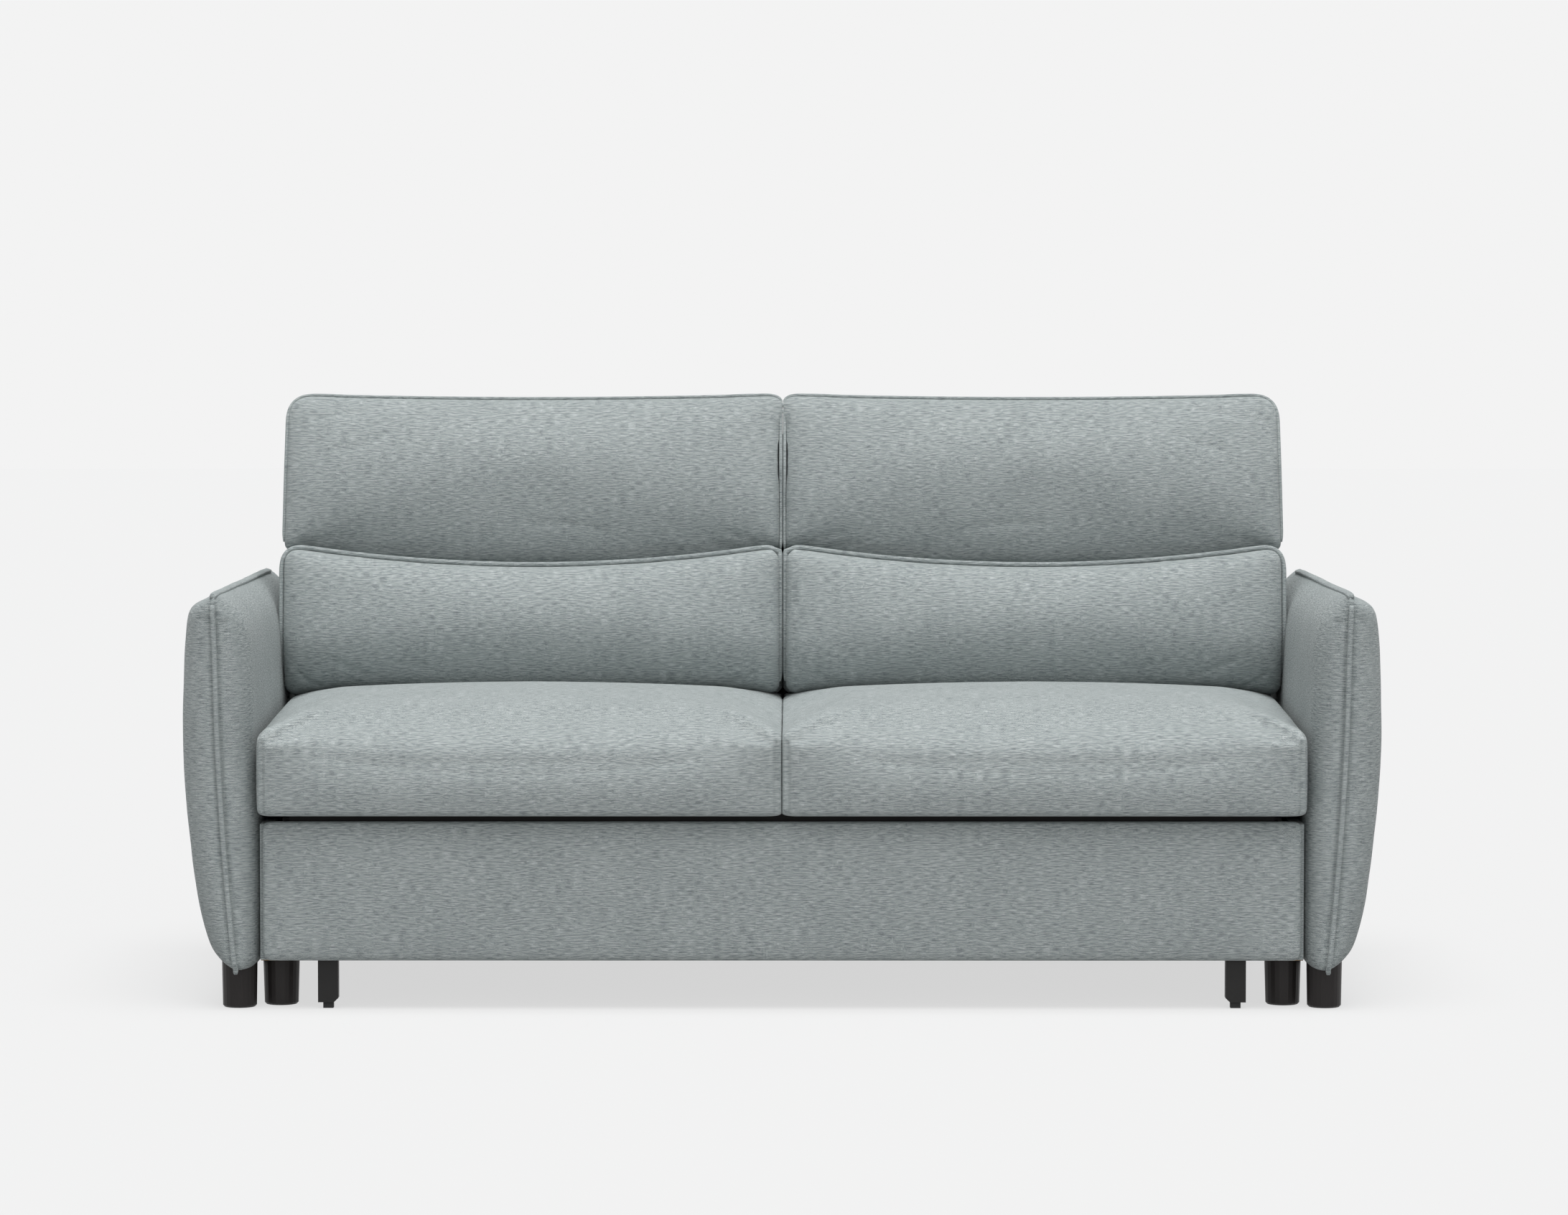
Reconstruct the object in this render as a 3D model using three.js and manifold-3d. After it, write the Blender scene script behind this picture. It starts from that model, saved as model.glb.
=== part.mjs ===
// Two-seat sleeper sofa with a fold-out bed.
// Millimetres, +Z up, -Y to the front; the origin is on the floor under the middle of the sofa.
// The back is pulled up and forward: the seat turns over on the front hinge, the back unfolds at the rear
// hinge, and four swinging links lift the head of the bed over the front panel at the same time.
import * as THREE from 'three';
import { mergeVertices } from 'three/addons/utils/BufferGeometryUtils.js';
import Module from 'manifold-3d';

const wasm = await Module();
wasm.setup();

// Driving dimensions of the sofa
const overallWidth = 1900;
const overallDepth = 950;
const armHeight = 652;
const panelBottom = 77;
const panelTop = 298;
const rearPanelTop = 645;
const backTop = 958;
const lumbarTop = 710;
const seatTop = 495;

// Clearances
const seat = 0.3; // what rests on or is fixed to its neighbour
const running = 1.5; // between plates that slide past each other
const pinPlay = 0.6; // round a pin
const overrun = 5; // how far a cutter runs past a face

// Sizes of the bed
const mattressThickness = 92;
const mattressSideGap = 5; // beside each mattress, inside the side tubes' outer face
const tube = 20; // square tube of the bed frames
const plate = 5; // steel plates and links
const slatWidth = 40;
const slatPitch = 112;
const slatThickness = 4;
const slatRise = 3; // of the slats above the tubes they are welded to
const slatInset = 5; // of the slats' ends from the outer face of the tubes
const slatWeld = 17; // how far in from the tubes' outer face the slats' windows start
const backLength = 600;
const backTilt = 8; // degrees from upright
const sectionGap = 4; // between a mattress section and its fold line

// Across the sofa: the arms, then the lanes of the side mechanism, then the bed
const armThickness = 124.9; // from the outer face to the side rail
const railThickness = 20;
const railOut = overallWidth / 2 - armThickness - seat;
const railIn = railOut - railThickness;
const sidePlateOut = railIn - seat;
const sidePlateIn = sidePlateOut - plate;
const linkOut = sidePlateIn - running;
const linkIn = linkOut - plate;
const seatPlateOut = linkIn - running;
const seatPlateIn = seatPlateOut - plate;
const headPlateOut = seatPlateIn - running;
const frameHalfWidth = headPlateOut - plate;
const mattressHalfWidth = frameHalfWidth - tube - mattressSideGap;

// Front to back
const front = -overallDepth / 2;
const rear = overallDepth / 2;
const panelSetback = 20; // of the front panel behind the seat's front edge
const panelThickness = 25;
const panelFace = front + panelSetback;
const panelBack = panelFace + panelThickness;
const rearPanelThickness = 30;
const rearPanelInset = 5;
const rearPanelBack = rear - rearPanelInset;
const rearPanelFace = rearPanelBack - rearPanelThickness;
const beamThickness = 13;
const hingeSetback = 18; // of the front hinge behind the front panel
const hingeY = panelBack + hingeSetback;
const backRoom = 225; // from the rear hinge to the back of the sofa
const rearHingeY = rear - backRoom;
const headRearRoom = 70; // from the head section to the rear panel, which it swings towards
const headFrontY = hingeY + sectionGap;
const headRearY = rearPanelFace - headRearRoom;

// Heights of the folded bed
const frameClearance = 5; // of the bed frames above the bottom of the panels
const frameBottom = panelBottom + frameClearance;
const headTop = frameBottom + tube;
const hingeZ = headTop + seat + mattressThickness + seat / 2;
const seatFrameBottom = hingeZ + seat / 2 + mattressThickness + seat;
const seatFrameTop = seatFrameBottom + tube;
const rearHingeZ = seatFrameBottom + tube / 2;
const backAngle = THREE.MathUtils.degToRad(90 - backTilt);

// Lift links
const linkLength = 165;
const linkWidth = 26;
const linkDrop = THREE.MathUtils.degToRad(40); // below level while the bed is folded
const frontLinkShare = 0.34; // place of the head frame's pivots along its length
const rearLinkShare = 0.85;
const pinRadius = 5.5;
const bossInset = 0.8; // of the bosses inside the tubes they are welded to
const bossRadius = tube / 2 - bossInset;
const supportPinRadius = 4;

// Legs
const legTopRadius = 29;
const legFootRadius = 27;
const legEdge = 3;
const armLegInset = 90; // from the side of the sofa to the leg's axis
const armLegX = overallWidth / 2 - armLegInset;
const armLegSetback = 62; // behind the front of the arm, and before its rear
const armLegHeight = 118;
const baseLegInset = 153;
const baseLegX = overallWidth / 2 - baseLegInset;
const shoeMargin = 1; // of the leg's shoe around the top of the leg
const baseLegSetback = 108;
const footInset = 232;
const footX = overallWidth / 2 - footInset;
const footWidth = 32;
const footDepth = 22;
const footTipWidth = 16;
const footTipHeight = 9;
const footChamfer = 7;
const footWall = 3;
const footSole = 9; // solid metal above the rubber tip

// Centre support legs, which swing in the crevice between left and right cushions
const crevice = 6.5; // half the gap between the cushions
const supportThickness = 6;
const supportDepth = 28;
const supportTip = 14;
const supportPivotInset = 62; // from the hinge or the end of the frame
const earThickness = 2;
const earGap = 0.5;
const supportRise = 1; // of the folded leg above its frame

// Soft parts
const seatTuck = 5.2; // of the seat cushions over the side rails
const backTuck = 11.2;
const seatHalfWidth = railOut + seatTuck;
const backHalfWidth = railOut + backTuck;
const upperTuck = 17; // of the upper cushions over the tops of the arms
const upperHalfWidth = railOut + upperTuck;
const seatEdgeHeight = 133; // of the seat's upright front, up to where it rounds over
const seatRearGap = 17;
const lumbarDepth = 222;
const upperDepth = 192;
const lumbarClearance = 2; // of the lumbar cushion above the top of the seat
const upperBottomDrop = 30; // of the upper cushion's lower edge behind the lumbar's top edge
const lumbarTopRoll = 12; // of the cushion's edge below its highest point
const upperTopRoll = 14;
const backRoundShare = 0.3; // middle of the rounding at the back of a pad
const seatCorner = 42;
const seatBackRound = 12;
const seatSideDip = 4; // how far the middle of a cushion's side draws in
const seatRearDip = 3;
const seatRearLift = 42; // of the upright edge at the rear of the seat
const backCorner = 34;
const backSideDip = 3;
const lumbarBackRound = 10;
const lumbarTopDip = 24;
const lumbarEdgeShare = 0.5; // of its depth, to where the lumbar cushion's face starts to round over
const lumbarFootShare = 0.28; // of its depth, that the edge stands further out at the foot
const upperBackRound = 12;
const upperTopDip = 7;
const upperEdgeShare = 0.62;
const mattressCorner = 25;
const mattressCrown = 12;
const mattressRound = 8;
const panelCorner = 8;
const panelSideGap = 5;
const panelCrown = 4; // of the padding over the board
const panelRound = 3;
const rearPanelCrown = 6;
const armBackGap = 3; // between the arm and the back cushions
const armBottom = 62;
const armFrontSetback = 10;
const armRound = 34;

const fabricColour = 0x8d9896;
const materials = {
  fabric: new THREE.MeshStandardMaterial({ color: fabricColour, roughness: 0.95, metalness: 0 }),
  ticking: new THREE.MeshStandardMaterial({ color: 0xd9d8d2, roughness: 0.9, metalness: 0 }),
  steel: new THREE.MeshStandardMaterial({ color: 0x2a2a2b, roughness: 0.5, metalness: 0.6 }),
  leg: new THREE.MeshStandardMaterial({ color: 0x2b2826, roughness: 0.45, metalness: 0 }),
  wood: new THREE.MeshStandardMaterial({ color: 0xb99b6b, roughness: 0.8, metalness: 0 }),
  rubber: new THREE.MeshStandardMaterial({ color: 0x161616, roughness: 0.8, metalness: 0 }),
};

// Solids

function toSolid(geometry) {
  const bare = geometry.clone();
  bare.deleteAttribute('normal');
  bare.deleteAttribute('uv');
  const merged = mergeVertices(bare);
  return new wasm.Manifold(new wasm.Mesh({
    numProp: 3,
    vertProperties: new Float32Array(merged.attributes.position.array),
    triVerts: new Uint32Array(merged.index.array),
  }));
}

function toGeometry(solid) {
  const mesh = solid.getMesh();
  const geometry = new THREE.BufferGeometry();
  geometry.setAttribute('position', new THREE.BufferAttribute(mesh.vertProperties, 3));
  geometry.setIndex(new THREE.BufferAttribute(mesh.triVerts, 1));
  geometry.computeVertexNormals();
  return geometry;
}

function join(pieces) {
  return toGeometry(pieces.map(toSolid).reduce((whole, piece) => whole.add(piece)));
}

function cut(body, cutters) {
  return toGeometry(cutters.map(toSolid).reduce((left, cutter) => left.subtract(cutter), toSolid(body)));
}

function block([x0, x1], [y0, y1], [z0, z1]) {
  const box = new THREE.BoxGeometry(Math.abs(x1 - x0), y1 - y0, z1 - z0);
  return box.translate((x0 + x1) / 2, (y0 + y1) / 2, (z0 + z1) / 2);
}

// A round bar along X
function bar(x0, x1, y, z, radius, sides = 20) {
  const cylinder = new THREE.CylinderGeometry(radius, radius, Math.abs(x1 - x0), sides);
  return cylinder.rotateZ(Math.PI / 2).translate((x0 + x1) / 2, y, z);
}

// A plate across X, cut to an outline in the YZ plane
function plateAcross(shape, x0, x1) {
  const solid = new THREE.ExtrudeGeometry(shape, {
    depth: Math.abs(x1 - x0), bevelEnabled: false, curveSegments: 10,
  });
  const turn = new THREE.Matrix4().makeBasis(
    new THREE.Vector3(0, 1, 0), new THREE.Vector3(0, 0, 1), new THREE.Vector3(1, 0, 0),
  );
  return solid.applyMatrix4(turn).translate(Math.min(x0, x1), 0, 0);
}

// The outline of a strap with round ends between two points, with a hole at each
function strap(from, to, width, hole) {
  const along = new THREE.Vector2().subVectors(to, from);
  const angle = along.angle();
  const shape = new THREE.Shape();
  shape.absarc(to.x, to.y, width / 2, angle - Math.PI / 2, angle + Math.PI / 2);
  shape.absarc(from.x, from.y, width / 2, angle + Math.PI / 2, angle + 1.5 * Math.PI);
  shape.closePath();
  if (hole > 0) {
    for (const centre of [from, to]) {
      const round = new THREE.Path();
      round.absarc(centre.x, centre.y, hole, 0, 2 * Math.PI, true);
      shape.holes.push(round);
    }
  }
  return shape;
}

// A closed skin over rings of points, each end closed by a fan
function skin(rings) {
  const count = rings[0].length;
  const middle = (ring) => ring.reduce((sum, p) => sum.add(p), new THREE.Vector3()).divideScalar(count);
  const points = [middle(rings[0]), ...rings.flat(), middle(rings.at(-1))];
  const last = points.length - 1;
  const at = (ring, k) => 1 + ring * count + (k % count);
  const faces = [];
  for (let k = 0; k < count; k += 1) {
    faces.push(0, at(0, k + 1), at(0, k));
    for (let ring = 0; ring < rings.length - 1; ring += 1) {
      faces.push(at(ring, k), at(ring, k + 1), at(ring + 1, k + 1));
      faces.push(at(ring, k), at(ring + 1, k + 1), at(ring + 1, k));
    }
    faces.push(last, at(rings.length - 1, k), at(rings.length - 1, k + 1));
  }
  return outward(points, faces);
}

// Turns the faces to the outside, whichever way the rings were drawn
function outward(points, faces) {
  let volume = 0;
  for (let k = 0; k < faces.length; k += 3) {
    const [a, b, c] = [points[faces[k]], points[faces[k + 1]], points[faces[k + 2]]];
    volume += a.dot(new THREE.Vector3().crossVectors(b, c));
  }
  if (volume < 0) faces.reverse();
  const geometry = new THREE.BufferGeometry().setFromPoints(points);
  geometry.setIndex(faces);
  geometry.computeVertexNormals();
  return geometry;
}

// A rounded rectangle in XY whose sides draw in between its corners
function outline(form, inset) {
  const halfWidth = form.width / 2 - inset;
  const halfHeight = form.height / 2 - inset;
  const radius = Math.min(Math.max(form.corner - inset, form.corner / 2), halfWidth, halfHeight);
  const steps = form.cornerSteps ?? 4;
  const points = [];
  const corners = [[1, 1], [-1, 1], [-1, -1], [1, -1]];
  corners.forEach(([sx, sy], quadrant) => {
    for (let k = 0; k <= steps; k += 1) {
      const angle = (quadrant + k / steps) * Math.PI / 2;
      points.push(new THREE.Vector2(
        sx * (halfWidth - radius) + radius * Math.cos(angle),
        sy * (halfHeight - radius) + radius * Math.sin(angle),
      ));
    }
    const [nx, ny] = corners[(quadrant + 1) % 4];
    const level = sy === ny;
    const between = level ? form.sideSteps : Math.ceil(form.sideSteps / 2);
    const from = points.at(-1).clone();
    const to = level
      ? new THREE.Vector2(nx * (halfWidth - radius), ny * halfHeight)
      : new THREE.Vector2(nx * halfWidth, ny * (halfHeight - radius));
    for (let k = 1; k < between; k += 1) points.push(from.clone().lerp(to, k / between));
  });
  return points.map((p) => {
    const across = 1 - (p.x / halfWidth) ** 2;
    const along = 1 - (p.y / halfHeight) ** 2;
    const dip = p.y > 0 ? form.dipTop ?? 0 : form.dipBottom ?? 0;
    return new THREE.Vector2(
      p.x * (1 - (form.dipSide ?? 0) * along / halfWidth),
      p.y * (1 - dip * across / halfHeight),
    );
  });
}

// A pad lying on XY: a firm back, an upright edge, and a crowned face.
// The edge can stand higher at the far end (liftFar) and at the near end (liftNear).
function pad(form) {
  const insetShares = [0.03, 0.1, 0.24, 0.44, 0.7];
  const reach = Math.min(form.width, form.height) / 2;
  const middle = form.backRound * backRoundShare;
  const backRings = [[form.backRound, 0], [middle, middle], [0, form.backRound]];
  const rings = backRings.map(([inset, height]) => outline(form, inset).map(
    (p) => new THREE.Vector3(p.x, p.y, height),
  ));
  for (const share of [0, ...insetShares]) {
    const rise = (1 - (1 - share) ** form.power) ** (1 / form.power);
    rings.push(outline(form, share * reach).map((p) => {
      const end = p.y / (form.height / 2);
      const lifted = form.edge + (end > 0 ? end * (form.liftFar ?? 0) : -end * (form.liftNear ?? 0));
      return new THREE.Vector3(p.x, p.y, lifted + (form.thickness - lifted) * rise);
    }));
  }
  return skin(rings);
}

// Leans the near end of a pad back to level, fading out towards its far end
function level(geometry, near, far, angle) {
  const position = geometry.attributes.position;
  for (let k = 0; k < position.count; k += 1) {
    const y = position.getY(k);
    const fade = Math.min(Math.max((far - y) / (far - near), 0), 1);
    position.setY(k, y - position.getZ(k) * Math.tan(angle) * fade);
  }
  geometry.computeVertexNormals();
  return geometry;
}

// The sofa

const sofa = new THREE.Group();
const sides = [['left', -1], ['right', 1]];

function node(parent, name, geometry, material) {
  const mesh = new THREE.Mesh(geometry, material);
  mesh.name = name;
  parent.add(mesh);
  return mesh;
}

function span(side, inner, outer) {
  return side > 0 ? [inner, outer] : [-outer, -inner];
}

// Arms: the outer face swells and draws in to a narrow foot, and both ends are rounded

function armSection(inset) {
  const inLow = railOut + seat;
  const inHigh = backHalfWidth + armBackGap;
  const outer = overallWidth / 2;
  const middleX = (inLow + outer) / 2;
  const middleZ = (armBottom + armHeight) / 2;
  // each point is a share of the way from the inner to the outer face, and of the arm's height
  const outerShares = [
    [0.25, 0], [0.42, 0.004], [0.58, 0.042], [0.69, 0.09], [0.79, 0.16], [0.87, 0.24], [0.93, 0.33],
    [0.98, 0.44], [1, 0.58], [0.995, 0.74], [0.965, 0.88], [0.9, 0.955], [0.78, 0.99], [0.6, 1],
  ];
  const innerShares = [
    [0.38, 0.99], [0.18, 0.965], [0.06, 0.91], [0, 0.83], [0, 0.62],
  ];
  const innerLowShares = [[0, 0.36], [0, 0.05], [0.04, 0.012]];
  const fromLow = ([u, v]) => [inLow + u * (outer - inLow), v];
  const points = outerShares.map(fromLow);
  points.push(...innerShares.map(([u, v]) => [inHigh + u * (outer - inHigh), v]));
  points.push(...innerLowShares.map(fromLow));
  const shrinkX = 1 - inset / (middleX - inLow);
  const shrinkZ = 1 - inset / (middleZ - armBottom);
  return points.map(([x, v]) => [
    middleX + (x - middleX) * shrinkX,
    middleZ + (armBottom + v * (armHeight - armBottom) - middleZ) * shrinkZ,
  ]);
}

function armBody(side) {
  const armFront = front + armFrontSetback;
  const steps = 4;
  const rings = [];
  for (let k = 0; k <= steps; k += 1) {
    const angle = (k / steps) * Math.PI / 2;
    rings.push([armRound * (1 - Math.sin(angle)), armFront + armRound * (1 - Math.cos(angle))]);
  }
  const ends = rings.map(([inset, y]) => [inset, rear - (y - armFront)]).reverse();
  const section = [...rings, ...ends].map(([inset, y]) => armSection(inset).map(
    ([x, z]) => new THREE.Vector3(side * x, y, z),
  ));
  return skin(section);
}

function turnedLeg(x, y, height) {
  const profile = [
    [0, 0], [legFootRadius - legEdge, 0], [legFootRadius, legEdge], [legTopRadius, height], [0, height],
  ].map(([r, z]) => new THREE.Vector2(r, z));
  return new THREE.LatheGeometry(profile, 24).rotateX(Math.PI / 2).translate(x, y, 0);
}

function addArms() {
  for (const [label, side] of sides) {
    const places = [
      ['front', front + armFrontSetback + armLegSetback], ['rear', rear - armLegSetback],
    ];
    const socketRadius = legTopRadius + seat;
    const sockets = places.map(([, y]) => {
      const depth = armLegHeight + seat + overrun;
      const socket = new THREE.CylinderGeometry(socketRadius, socketRadius, depth, 24);
      return socket.rotateX(Math.PI / 2).translate(side * armLegX, y, depth / 2 - overrun);
    });
    node(sofa, `arm_${label}`, cut(armBody(side), sockets), materials.fabric);
    for (const [place, y] of places) {
      node(sofa, `arm_leg_${place}_${label}`, turnedLeg(side * armLegX, y, armLegHeight), materials.leg);
    }
  }
}

// Base box between the arms

function addBase() {
  const panelForm = {
    width: 2 * (railOut - panelSideGap), height: panelTop - panelBottom, corner: panelCorner, sideSteps: 2,
    thickness: panelThickness, edge: panelThickness - panelCrown, backRound: panelRound, power: 2,
  };
  const frontPanel = node(sofa, 'front_panel', pad(panelForm), materials.fabric);
  frontPanel.rotation.x = Math.PI / 2;
  frontPanel.position.set(0, panelBack, (panelTop + panelBottom) / 2);

  const rearForm = {
    ...panelForm, width: 2 * railOut, height: rearPanelTop - panelBottom,
    thickness: rearPanelThickness, edge: rearPanelThickness - rearPanelCrown,
  };
  const rearPanel = node(sofa, 'rear_panel', pad(rearForm), materials.fabric);
  rearPanel.rotation.set(Math.PI / 2, Math.PI, 0);
  rearPanel.position.set(0, rearPanelFace, (rearPanelTop + panelBottom) / 2);

  const beamHalfLength = frameHalfWidth - plate;
  const frontBeamHeight = 120;
  const rearBeamHeight = 100;
  const railDrop = 6; // of the side rails below the top of the panel
  node(sofa, 'front_beam', block([-beamHalfLength, beamHalfLength],
    [panelBack + seat, panelBack + seat + beamThickness], [panelBottom, panelBottom + frontBeamHeight]),
  materials.wood);
  node(sofa, 'rear_beam', block([-railIn + seat, railIn - seat],
    [rearPanelFace - seat - beamThickness, rearPanelFace - seat],
    [panelBottom, panelBottom + rearBeamHeight]), materials.wood);
  for (const [label, side] of sides) {
    node(sofa, `side_rail_${label}`, block(span(side, railIn, railOut),
      [panelBack + seat, rearPanelFace - seat], [panelBottom, panelTop - railDrop]), materials.wood);
  }
}

// Pivots of the lift links, at rest

const pivotZ = frameBottom + tube / 2;
const headPivots = [frontLinkShare, rearLinkShare].map((share) => new THREE.Vector2(
  headFrontY + share * (headRearY - headFrontY), pivotZ,
));
const basePivots = headPivots.map((p) => new THREE.Vector2(
  p.x - linkLength * Math.cos(linkDrop), p.y + linkLength * Math.sin(linkDrop),
));

// Steel side plates carry the links, the metal feet and the base legs

function sidePlate(side) {
  const rearMargin = 78; // behind the rear link's pivot
  const topDrop = 12; // below the top of the panel
  const nose = 40; // the corners cut off the plate
  const slotHalf = 60; // half the way between the ends of the slot
  const slotRise = 52; // of the slot's middle above the bottom
  const plateEnd = basePivots[1].x + rearMargin;
  const top = panelTop - topDrop;
  const shape = new THREE.Shape();
  shape.moveTo(panelBack + running, panelBottom);
  shape.lineTo(plateEnd, panelBottom);
  shape.lineTo(plateEnd, basePivots[1].y - nose);
  shape.lineTo(plateEnd - nose, top);
  shape.lineTo(panelBack + nose, top);
  shape.lineTo(panelBack + running, top - nose);
  shape.closePath();
  const slot = new THREE.Path();
  const slotZ = panelBottom + slotRise;
  const slotY = (basePivots[0].x + basePivots[1].x) / 2;
  slot.absarc(slotY - slotHalf, slotZ, linkWidth, Math.PI / 2, 1.5 * Math.PI);
  slot.absarc(slotY + slotHalf, slotZ, linkWidth, 1.5 * Math.PI, 2.5 * Math.PI);
  slot.closePath();
  shape.holes.push(slot);
  const pieces = [plateAcross(shape, side * sidePlateIn, side * sidePlateOut)];
  for (const p of basePivots) {
    pieces.push(bar(side * (linkIn - running / 2), side * (sidePlateIn + plate / 2), p.x, p.y, pinRadius));
  }
  return join(pieces);
}

function addLegShoe(name, x, y) {
  const half = legTopRadius + shoeMargin;
  node(sofa, name, block([x - half, x + half], [y - half, y + half],
    [panelBottom - plate, panelBottom - seat]), materials.steel);
}

function footColumn(x) {
  const inner = -Math.sign(x);
  const [y0, y1] = [panelBack + seat, panelBack + footDepth];
  const shape = new THREE.Shape();
  const half = footWidth / 2;
  shape.moveTo(-half, footTipHeight + seat);
  shape.lineTo(half - footChamfer, footTipHeight + seat);
  shape.lineTo(half, footTipHeight + footChamfer);
  shape.lineTo(half, panelBottom - seat);
  shape.lineTo(-half, panelBottom - seat);
  shape.closePath();
  const turn = new THREE.Matrix4().makeBasis(
    new THREE.Vector3(inner, 0, 0), new THREE.Vector3(0, 0, 1), new THREE.Vector3(0, -inner, 0),
  );
  const solid = new THREE.ExtrudeGeometry(shape, { depth: y1 - y0, bevelEnabled: false });
  solid.applyMatrix4(turn).translate(x, inner > 0 ? y1 : y0, 0);
  const hollow = block([x - half + footWall, x + half - footWall],
    [y0 + footWall, y1 + overrun], [footTipHeight + footSole, panelBottom + overrun]);
  return cut(solid, [hollow]);
}

function addSteelBase() {
  for (const [label, side] of sides) {
    node(sofa, `side_plate_${label}`, sidePlate(side), materials.steel);
    for (const [place, y] of [['front', front + baseLegSetback], ['rear', rear - baseLegSetback]]) {
      addLegShoe(`leg_shoe_${place}_${label}`, side * baseLegX, y);
      node(sofa, `base_leg_${place}_${label}`, turnedLeg(side * baseLegX, y, panelBottom - plate - seat),
        materials.leg);
    }
    const x = side * footX;
    node(sofa, `metal_foot_${label}`, footColumn(x), materials.steel);
    node(sofa, `foot_tip_${label}`, block([x - footTipWidth / 2, x + footTipWidth / 2],
      [panelBack + footWall, panelBack + footDepth - footWall], [0, footTipHeight]), materials.rubber);
  }
}

// Lift links

function addLinks() {
  ['front', 'rear'].forEach((place, k) => {
    for (const [label, side] of sides) {
      const shape = strap(basePivots[k], headPivots[k], linkWidth, pinRadius + pinPlay);
      node(sofa, `lift_link_${place}_${label}`, plateAcross(shape, side * linkIn, side * linkOut),
        materials.steel);
    }
  });
}

// A flat sheet on XY with windows
function sheet(across, along, [z0, z1], windows) {
  return cut(block(across, along, [z0, z1]),
    windows.map(([x0, x1, y0, y1]) => block([x0, x1], [y0, y1], [z0 - overrun, z1 + overrun])));
}

// A welded bed frame lying on XY: a ring of square tube, and a grid of flat slats on its mattress face
function bedFrame(y0, y1, up) {
  const half = frameHalfWidth;
  const ringFace = -up * slatRise;
  const ringBack = -up * tube;
  const levels = (a, b) => [Math.min(a, b), Math.max(a, b)];
  const ring = sheet([-half, half], [y0, y1], levels(ringFace, ringBack),
    [[tube - half, half - tube, y0 + tube, y1 - tube]]);
  const slatBack = -up * slatThickness;
  const rows = Math.round((y1 - y0 - 2 * tube) / slatPitch);
  const columns = [-(half - slatWeld), -half / 3, half / 3, half - slatWeld];
  const windows = [];
  for (let row = 0; row < rows; row += 1) {
    const low = y0 + slatWeld + (row / rows) * (y1 - y0 - 2 * slatWeld) + (row > 0 ? slatWidth / 2 : 0);
    const high = y0 + slatWeld + ((row + 1) / rows) * (y1 - y0 - 2 * slatWeld)
      - (row < rows - 1 ? slatWidth / 2 : 0);
    for (let k = 0; k < columns.length - 1; k += 1) {
      windows.push([columns[k] + (k > 0 ? slatWidth / 2 : 0), columns[k + 1] - (k < 2 ? slatWidth / 2 : 0),
        low, high]);
    }
  }
  const slats = sheet([slatInset - half, half - slatInset], [y0 + slatInset, y1 - slatInset],
    levels(0, slatBack), windows);
  return [ring, slats];
}

// A mattress section on XY between two fold lines, from z = 0 up

function mattressPad(length) {
  return pad({ width: 2 * mattressHalfWidth, height: length, corner: mattressCorner, cornerSteps: 3,
    sideSteps: 2, thickness: mattressThickness, edge: mattressThickness - mattressCrown,
    backRound: mattressRound, power: 2.4 });
}

// Head section: stays level and carries the front hinge

function addHeadSection() {
  const y0 = headFrontY;
  const y1 = headRearY;
  const pieces = bedFrame(y0, y1, 1).map((piece) => piece.translate(0, 0, headTop));
  for (const [, side] of sides) {
    const root = new THREE.Vector2(y0 + 2 * tube, pivotZ);
    const eye = new THREE.Vector2(hingeY, hingeZ);
    pieces.push(plateAcross(strap(root, eye, 2 * bossRadius, 0), side * (frameHalfWidth - plate / 2),
      side * headPlateOut));
    pieces.push(bar(side * (frameHalfWidth - plate / 2), side * (seatPlateOut + running / 2),
      hingeY, hingeZ, pinRadius));
    for (const p of headPivots) {
      pieces.push(bar(side * (frameHalfWidth - plate), side * (linkIn - running / 3), p.x, p.y, bossRadius));
      pieces.push(bar(side * (frameHalfWidth - plate), side * (linkOut + running / 3), p.x, p.y, pinRadius));
    }
  }
  node(sofa, 'head_frame', join(pieces), materials.steel);
  const mattress = node(sofa, 'mattress_head', mattressPad(y1 - y0 - sectionGap), materials.ticking);
  mattress.position.set(0, (y0 + y1) / 2, headTop + seat);
}

// A support leg of flat bar, folded along -Y from a pivot at the origin, and its tip

function addSupport(parent, name, pivotY, pivotZValue, reach) {
  const group = new THREE.Group();
  group.position.set(0, pivotY, pivotZValue);
  parent.add(group);
  const half = supportThickness / 2;
  const pivot = new THREE.Vector2(0, 0);
  const end = new THREE.Vector2(-(reach - supportTip - supportDepth / 2), 0);
  const body = cut(plateAcross(strap(end, pivot, supportDepth, 0), -half, half), [
    bar(-supportDepth, supportDepth, 0, 0, supportPinRadius + pinPlay, 16),
    block([-supportDepth, supportDepth], [-reach - supportDepth, -(reach - supportTip)],
      [-supportDepth, supportDepth]),
  ]);
  node(group, name, body, materials.steel);
  node(group, `${name}_tip`, block([-half, half], [-reach, -(reach - supportTip) - seat],
    [-supportDepth / 2, supportDepth / 2]), materials.rubber);
}

function supportEars(pivotY, surface, height) {
  const half = supportThickness / 2 + earGap;
  const pieces = [-1, 1].map((side) => {
    const foot = new THREE.Vector2(pivotY, surface - tube / 4);
    const eye = new THREE.Vector2(pivotY, surface + height);
    return plateAcross(strap(foot, eye, supportDepth / 2, 0), side * half, side * (half + earThickness));
  });
  pieces.push(bar(-half - earThickness / 2, half + earThickness / 2, pivotY, surface + height,
    supportPinRadius, 16));
  return pieces;
}

// The open bed stands higher than the folded one by what the links rise
const linkSwing = THREE.MathUtils.degToRad(125);
const lift = linkLength * (Math.sin(linkSwing - linkDrop) + Math.sin(linkDrop));
const openCushionFace = hingeZ + lift - (seatFrameTop - hingeZ);
const supportPivotHeight = supportDepth / 2 + supportRise;
const supportReach = openCushionFace - supportPivotHeight - running;

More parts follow.
